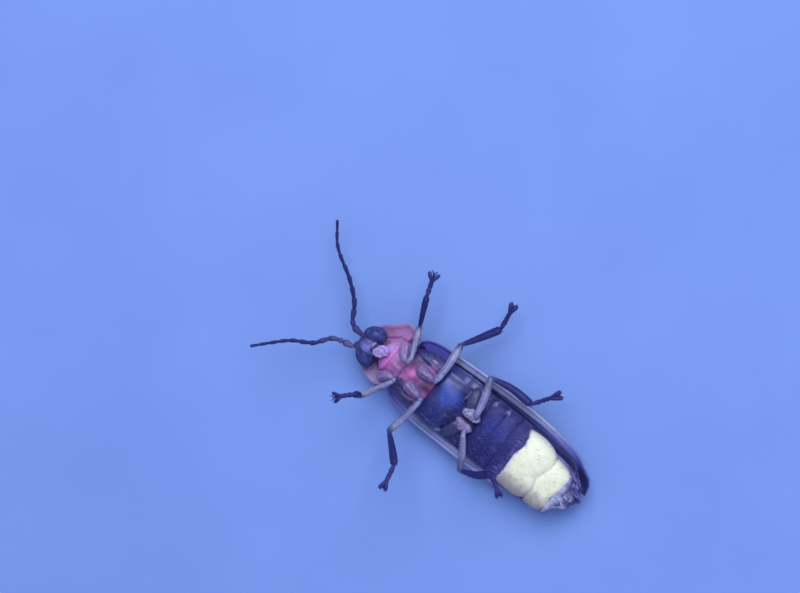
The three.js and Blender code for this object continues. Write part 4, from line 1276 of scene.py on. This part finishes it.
def foot(pair, name):
    """Five segments, the fourth with two long lobes under the last one, which carries the claws."""
    _, _, ankle, end = leg_joints(pair, name)
    length = np.linalg.norm(end - ankle)
    way = (end - ankle) / length
    up = np.array((0, 0, 1.0))
    sole = up - way * (up @ way)
    sole /= np.linalg.norm(sole)
    across = np.cross(sole, way)
    arch_of = lambda share: ankle + way * share * length - sole * FOOT_ARCH * math.sin(math.pi * share)
    skin = Skin()
    tints = dict(hairy=1, warm=0.35)
    share = 0.02
    for i, part in enumerate(FOOT_SHARES[:4]):
        wide = 0.125 - 0.003 * i
        a, b = arch_of(share), arch_of(share + part)
        limb(skin, [a - way * 0.05, (a + b) / 2, b + way * 0.015],
             [(0, 0.06), (0.3, 0.085), (0.9, wide), (1, 0.95 * wide)],
             flat=0.75, up=sole, rings=28, sides=24, bumps=0.04, seed=80 + i, dome=0.35, **tints)
        share += part
    root = arch_of(share - FOOT_SHARES[3] * 0.7)
    lobe = LOBE_SHARE * length
    for spread in (-1, 1):
        turn = spread * LOBE_SPREAD[pair]
        out = way * math.cos(turn) + across * math.sin(turn)
        middle = root + out * lobe * 0.5 + sole * 0.06
        tip = root + out * lobe + sole * 0.03
        limb(skin, [root + sole * 0.02, middle, tip], [(0, 0.07), (0.5, 0.09), (0.85, 0.09), (1, 0.065)],
             flat=0.55, up=sole, rings=30, sides=20, bumps=0.05, seed=88, **tints)
    tip = arch_of(0.94)
    start = arch_of(share - 0.04)
    limb(skin, [start - sole * 0.03, (start + tip) / 2 - sole * 0.05, tip - way * 0.05],
         [(0, 0.04), (0.6, 0.05), (0.9, 0.06), (1, 0.045)], rings=28, sides=18, **tints)
    for spread in (-1, 1):
        out = way * math.cos(CLAW_SPREAD) + across * spread * math.sin(CLAW_SPREAD)
        base = tip - way * 0.08 + across * spread * 0.02
        limb(skin, [base, base + out * 0.1 - sole * 0.015, base + out * 0.18 + sole * 0.02,
                    base + out * 0.22 + sole * 0.08],
             [(0, 0.04), (0.35, 0.034), (1, 0.006)], flat=0.7, up=sole, rings=22, sides=12,
             warm=lambda t: 0.9 * (1 - t))
    return skin


# Geometry node trees
HAIR_SIZES = (0.65, 1.2)  # the shortest and longest hair, as shares of the given length
HAIR_ROOT = -0.08  # how deep a hair's foot sits in the skin, as a share of its length


def new_tree(name, sizes):
    """A geometry node tree with named inputs, given as name, socket type and default value."""
    tree = bpy.data.node_groups.new(name, "GeometryNodeTree")
    tree.interface.new_socket("Geometry", in_out="OUTPUT", socket_type="NodeSocketGeometry")
    tree.interface.new_socket("Geometry", in_out="INPUT", socket_type="NodeSocketGeometry")
    for label, kind, value in sizes:
        socket = tree.interface.new_socket(label, in_out="INPUT", socket_type=f"NodeSocket{kind}")
        if value is not None:
            socket.default_value = value
    given = put(tree, "NodeGroupInput")
    return tree, {socket.name: socket for socket in given.outputs if socket.name}


def close_tree(tree, geometry, material):
    """Ends a tree in real geometry with its material."""
    real = put(tree, "GeometryNodeRealizeInstances", {"Geometry": geometry}, "Geometry")
    made = put(tree, "GeometryNodeSetMaterial", {"Geometry": real, "Material": material}, "Geometry")
    put(tree, "NodeGroupOutput", {"Geometry": made})


def grown(host, tree, **sizes):
    """Runs a tree on a host object and leaves its result there as a plain mesh."""
    modifier = host.modifiers.new("growth", "NODES")
    modifier.node_group = tree
    for item in tree.interface.items_tree:
        key = item.name.replace(" ", "_").lower()
        if item.in_out == "INPUT" and key in sizes:
            modifier[item.identifier] = sizes[key]
    ready = host.evaluated_get(bpy.context.evaluated_depsgraph_get())
    mesh = bpy.data.meshes.new_from_object(ready)
    host.modifiers.remove(modifier)
    old, host.data = host.data, mesh
    bpy.data.meshes.remove(old)
    mesh.name = host.name
    return host


def bristle_tree():
    """Curved bristles rooted in a skin, which follow the way that its down lies."""
    tree, given = new_tree("bristles", [
        ("Density", "Float", 100.0), ("Length", "Float", 0.1 * MM), ("Thickness", "Float", 0.01 * MM),
        ("Stand", "Float", 0.4), ("Bend", "Float", 0.4), ("Stray", "Float", 0.2), ("Seed", "Int", 1),
        ("Material", "Material", None),
    ])
    named = lambda name, kind: put(tree, "GeometryNodeInputNamedAttribute", {"Name": name}, "Attribute",
                                   data_type=kind)
    maths = lambda operation, a, b: put(tree, "ShaderNodeMath", {"Value": a, "Value_001": b}, "Value",
                                        operation=operation)
    scaled = lambda vector, factor: put(tree, "ShaderNodeVectorMath", {"Vector": vector, "Scale": factor},
                                        "Vector", operation="SCALE")
    sum_of = lambda a, b: put(tree, "ShaderNodeVectorMath", {"Vector": a, "Vector_001": b}, "Vector",
                              operation="ADD")
    density = maths("MULTIPLY", given["Density"], named("hairy", "FLOAT"))
    roots = put(tree, "GeometryNodeDistributePointsOnFaces", {
        "Mesh": given["Geometry"], "Density": density, "Seed": given["Seed"]})
    lie = named("lie", "FLOAT_VECTOR")
    flat_share = maths("SUBTRACT", 1.0, given["Stand"])
    stray = put(tree, "FunctionNodeRandomValue", {
        "Min": (-1, -1, -1), "Max": (1, 1, 1), "Seed": given["Seed"]}, "Value", data_type="FLOAT_VECTOR")
    leaning = sum_of(scaled(roots.outputs["Normal"], given["Stand"]), scaled(lie, flat_share))
    leaning = sum_of(leaning, scaled(stray, given["Stray"]))
    upright = put(tree, "FunctionNodeAlignRotationToVector", {"Vector": leaning}, "Rotation", axis="Z")
    turned = put(tree, "FunctionNodeAlignRotationToVector", {"Rotation": upright, "Vector": lie}, "Rotation",
                 axis="X", pivot_axis="Z")
    blade = put(tree, "GeometryNodeMeshCone", {
        "Vertices": 3, "Side Segments": 3, "Radius Top": 0.0,
        "Radius Bottom": maths("MULTIPLY", given["Thickness"], 0.5), "Depth": given["Length"]}, "Mesh")
    place = put(tree, "GeometryNodeInputPosition", out="Position")
    along = put(tree, "ShaderNodeSeparateXYZ", {"Vector": place})
    share = maths("DIVIDE", along.outputs["Z"], given["Length"])
    side_share = maths("DIVIDE", along.outputs["X"], given["Length"])
    patch = put(tree, "ShaderNodeCombineXYZ", {"X": maths("MULTIPLY", side_share, TUFT_PATCH),
                                               "Y": maths("MULTIPLY", share, TUFT_PATCH)}, "Vector")
    blade = put(tree, "GeometryNodeStoreNamedAttribute", {"Geometry": blade, "Name": "patch", "Value": patch},
                "Geometry", data_type="FLOAT_VECTOR", domain="POINT")
    reach = maths("MULTIPLY", given["Bend"], given["Length"])
    curl = maths("MULTIPLY", maths("MULTIPLY", share, share), reach)
    sunk = maths("MULTIPLY", given["Length"], HAIR_ROOT)
    offset = put(tree, "ShaderNodeCombineXYZ", {"X": curl, "Z": sunk}, "Vector")
    blade = put(tree, "GeometryNodeSetPosition", {"Geometry": blade, "Offset": offset}, "Geometry")
    size = put(tree, "FunctionNodeRandomValue", {
        "Min_001": HAIR_SIZES[0], "Max_001": HAIR_SIZES[1], "Seed": given["Seed"]}, "Value_001",
        data_type="FLOAT")
    tufts = put(tree, "GeometryNodeInstanceOnPoints", {"Points": roots.outputs["Points"], "Instance": blade,
                                                       "Rotation": turned, "Scale": size}, "Instances")
    real = put(tree, "GeometryNodeRealizeInstances", {"Geometry": tufts}, "Geometry")
    mapped = sum_of(named(SKIN_MAP, "FLOAT_VECTOR"), named("patch", "FLOAT_VECTOR"))
    real = put(tree, "GeometryNodeStoreNamedAttribute", {"Geometry": real, "Name": "OFBake", "Value": mapped},
               "Geometry", data_type="FLOAT2", domain="CORNER")
    close_tree(tree, real, given["Material"])
    return tree


def eye_tree():
    """A ball of six-sided lenses, each a little raised and narrowed from its neighbours. They are drawn wider
    than real ones, which are too fine to show."""
    tree, given = new_tree("eye_facets", [
        ("Radius", "Float", EYE_RADIUS * MM), ("Detail", "Int", 5), ("Rise", "Float", 0.005 * MM),
        ("Crown", "Float", 0.7), ("Turn", "Float", 0.0), ("Centre", "Vector", None),
        ("Material", "Material", None),
    ])
    ball = put(tree, "GeometryNodeMeshIcoSphere", {
        "Radius": given["Radius"], "Subdivisions": given["Detail"]}, "Mesh")
    cells = put(tree, "GeometryNodeDualMesh", {"Mesh": ball}, "Dual Mesh")
    raised = put(tree, "GeometryNodeExtrudeMesh", {
        "Mesh": cells, "Offset Scale": given["Rise"], "Individual": True})
    crowned = put(tree, "GeometryNodeScaleElements", {
        "Geometry": raised.outputs["Mesh"], "Scale": given["Crown"], "Selection": raised.outputs["Top"]},
        "Geometry")
    turned = put(tree, "ShaderNodeCombineXYZ", {"Z": given["Turn"]}, "Vector")
    placed = put(tree, "GeometryNodeTransform", {"Geometry": crowned, "Translation": given["Centre"],
                                                 "Rotation": turned, "Scale": (1.25, 0.92, 0.95)}, "Geometry")
    close_tree(tree, placed, given["Material"])
    return tree


EYE_SPLAY = math.radians(-28)  # the eyes are longer than wide and spread towards the back
EYE_INSET = 0.15


def compound_eyes():
    tree = eye_tree()
    for name, side in SIDES.items():
        host = Skin().make(f"compound_eye_{name}")
        centre = Vector((eye_centre(side) - side * EYE_INSET * RIGHTWARD + SHIFT) * MM)
        finish(grown(host, tree, centre=centre, turn=EYE_SPLAY * side, material=EYE), "eye", f"eye_{name}")


prosternum()
mesothorax()
metathorax()
hind_wings()
belly()
light_organ("light_organ_6", "light_organ_front", -2.04, -3.8, narrowing=0.17, front_edge=ORGAN_FRONT,
            rear_wave=ragged(ORGAN_SEAM), width=0.965, shift=0.05, seed=9, rim_share=1.0, seam_share=0.0)
light_organ("light_organ_7", "light_organ_rear", -3.8, -4.98, narrowing=0.16, front_edge=ORGAN_SEAM,
            rear_wave=ORGAN_REAR, width=0.91, shift=0.12, seed=11, rim_share=0.0, seam_share=0.3)
tail_end()

head_skin = head_capsule()
finish(head_skin.make("head_capsule", FACE), "face_cuticle", "head")
mouth_skin = mouth()
finish(mouth_skin.make("mouth", PALE_LIMB), "pale_cuticle", "mouthparts")
compound_eyes()

feeler_skins = {}
leg_skins = {}
LEG_PARTS = {"coxa": (coxa, PALE_LIMB, "pale_cuticle"), "femur": (femur, PALE_LIMB, "pale_cuticle"),
             "tibia": (tibia, DARK_LIMB, "limb_cuticle"), "tarsus": (foot, DARK_LIMB, "limb_cuticle")}
for side_name in SIDES:
    feeler_skins[side_name] = feeler(side_name)
    piece = feeler_skins[side_name].make(f"feeler_{side_name}", DARK_LIMB)
    finish(piece, "limb_cuticle", f"antenna_{side_name}")
    leg_skins[side_name] = []
    for pair in LEGS:
        for part, (maker, material, slot) in LEG_PARTS.items():
            skin = maker(pair, side_name)
            leg_skins[side_name].append(skin)
            finish(skin.make(f"{pair}_{part}_{side_name}", material), slot, f"{part}_{pair}_{side_name}")

PER_MM2 = 1 / MM**2
DOWN_BEND, DOWN_STRAY = 0.35, 0.2  # how far a hair curves, and strays from its way, as shares of its length
bristles = bristle_tree()


def grow_down(name, skins, slot, material, per_mm2, length, thickness, seed, stand=0.35):
    """Down on one or more skins, its hairs thicker and wider apart than real ones, so that they show."""
    host = joined(skins).make(name)
    grown(host, bristles, density=per_mm2 * PER_MM2, length=length * MM, thickness=thickness * MM, seed=seed,
          stand=stand, bend=DOWN_BEND, stray=DOWN_STRAY, material=material)
    finish(host, slot)


THORAX = ("prosternum_plate", "mesosternum", "metasternum")
thorax_skins = [trunk_skins[name] for name in THORAX]
belly_skins = [skin for name, skin in trunk_skins.items() if name not in THORAX]
grow_down("wing_case_down", list(case_skins.values()), "wing_case", DARK_DOWN, 140, 0.15, 0.014, 1, stand=0.3)
grow_down("shield_down", [shield_skin], "rose_cuticle", PALE_DOWN, 150, 0.13, 0.012, 2, stand=0.3)
grow_down("thorax_down", thorax_skins, "dark_cuticle", PALE_DOWN, 260, 0.15, 0.01, 3, stand=0.28)
grow_down("belly_down", belly_skins, "dark_cuticle", BELLY_DOWN, 340, 0.17, 0.01, 4, stand=0.22)
grow_down("face_down", [head_skin], "face_cuticle", PALE_DOWN, 320, 0.09, 0.009, 5, stand=0.4)
for seed, side_name in enumerate(SIDES, 6):
    grow_down(f"leg_down_{side_name}", leg_skins[side_name], "limb_cuticle", DARK_DOWN, 420, 0.1, 0.011, seed)
    grow_down(f"feeler_down_{side_name}", [feeler_skins[side_name]], "limb_cuticle", DARK_DOWN, 850, 0.075,
              0.009, seed + 2, stand=0.45)

FLOOR_REACH = 400
LIGHTS = {  # place, size, watts and tint
    "key": ((60, -120, 180), 140, 0.61, "#d6deff"),
    "fill": ((-150, 60, 110), 160, 0.08, "#b9c8ff"),
}
SKY_TINT, SKY_STRENGTH = "#aabdfa", 0.55


def add_floor():
    size = FLOOR_REACH * MM
    mesh = bpy.data.meshes.new("floor")
    corners = [(-size, -size, 0), (size, -size, 0), (size, size, 0), (-size, size, 0)]
    mesh.from_pydata(corners, [], [(0, 1, 2, 3)])
    mesh.materials.append(material_of_floor())
    floor = bpy.data.objects.new("floor", mesh)
    bpy.context.scene.collection.objects.link(floor)


def add_light(name, place, size, watts, tint):
    """A square soft light that faces the middle of the body, placed in millimetres."""
    light = bpy.data.lights.new(name, "AREA")
    light.size = size * MM
    light.energy = watts
    light.color = colour(tint)[:3]
    made = bpy.data.objects.new(name, light)
    made.location = Vector(place) * MM
    made.rotation_euler = (-made.location).to_track_quat("-Z", "Y").to_euler()
    bpy.context.scene.collection.objects.link(made)


def add_studio():
    add_floor()
    for name, (place, size, watts, tint) in LIGHTS.items():
        add_light(name, place, size, watts, tint)
    world = bpy.data.worlds.new("soft_studio")
    world.use_nodes = True
    background = world.node_tree.nodes["Background"]
    background.inputs["Color"].default_value = colour(SKY_TINT)
    background.inputs["Strength"].default_value = SKY_STRENGTH
    bpy.context.scene.world = world


add_studio()
bpy.context.scene.view_settings.view_transform = "Standard"
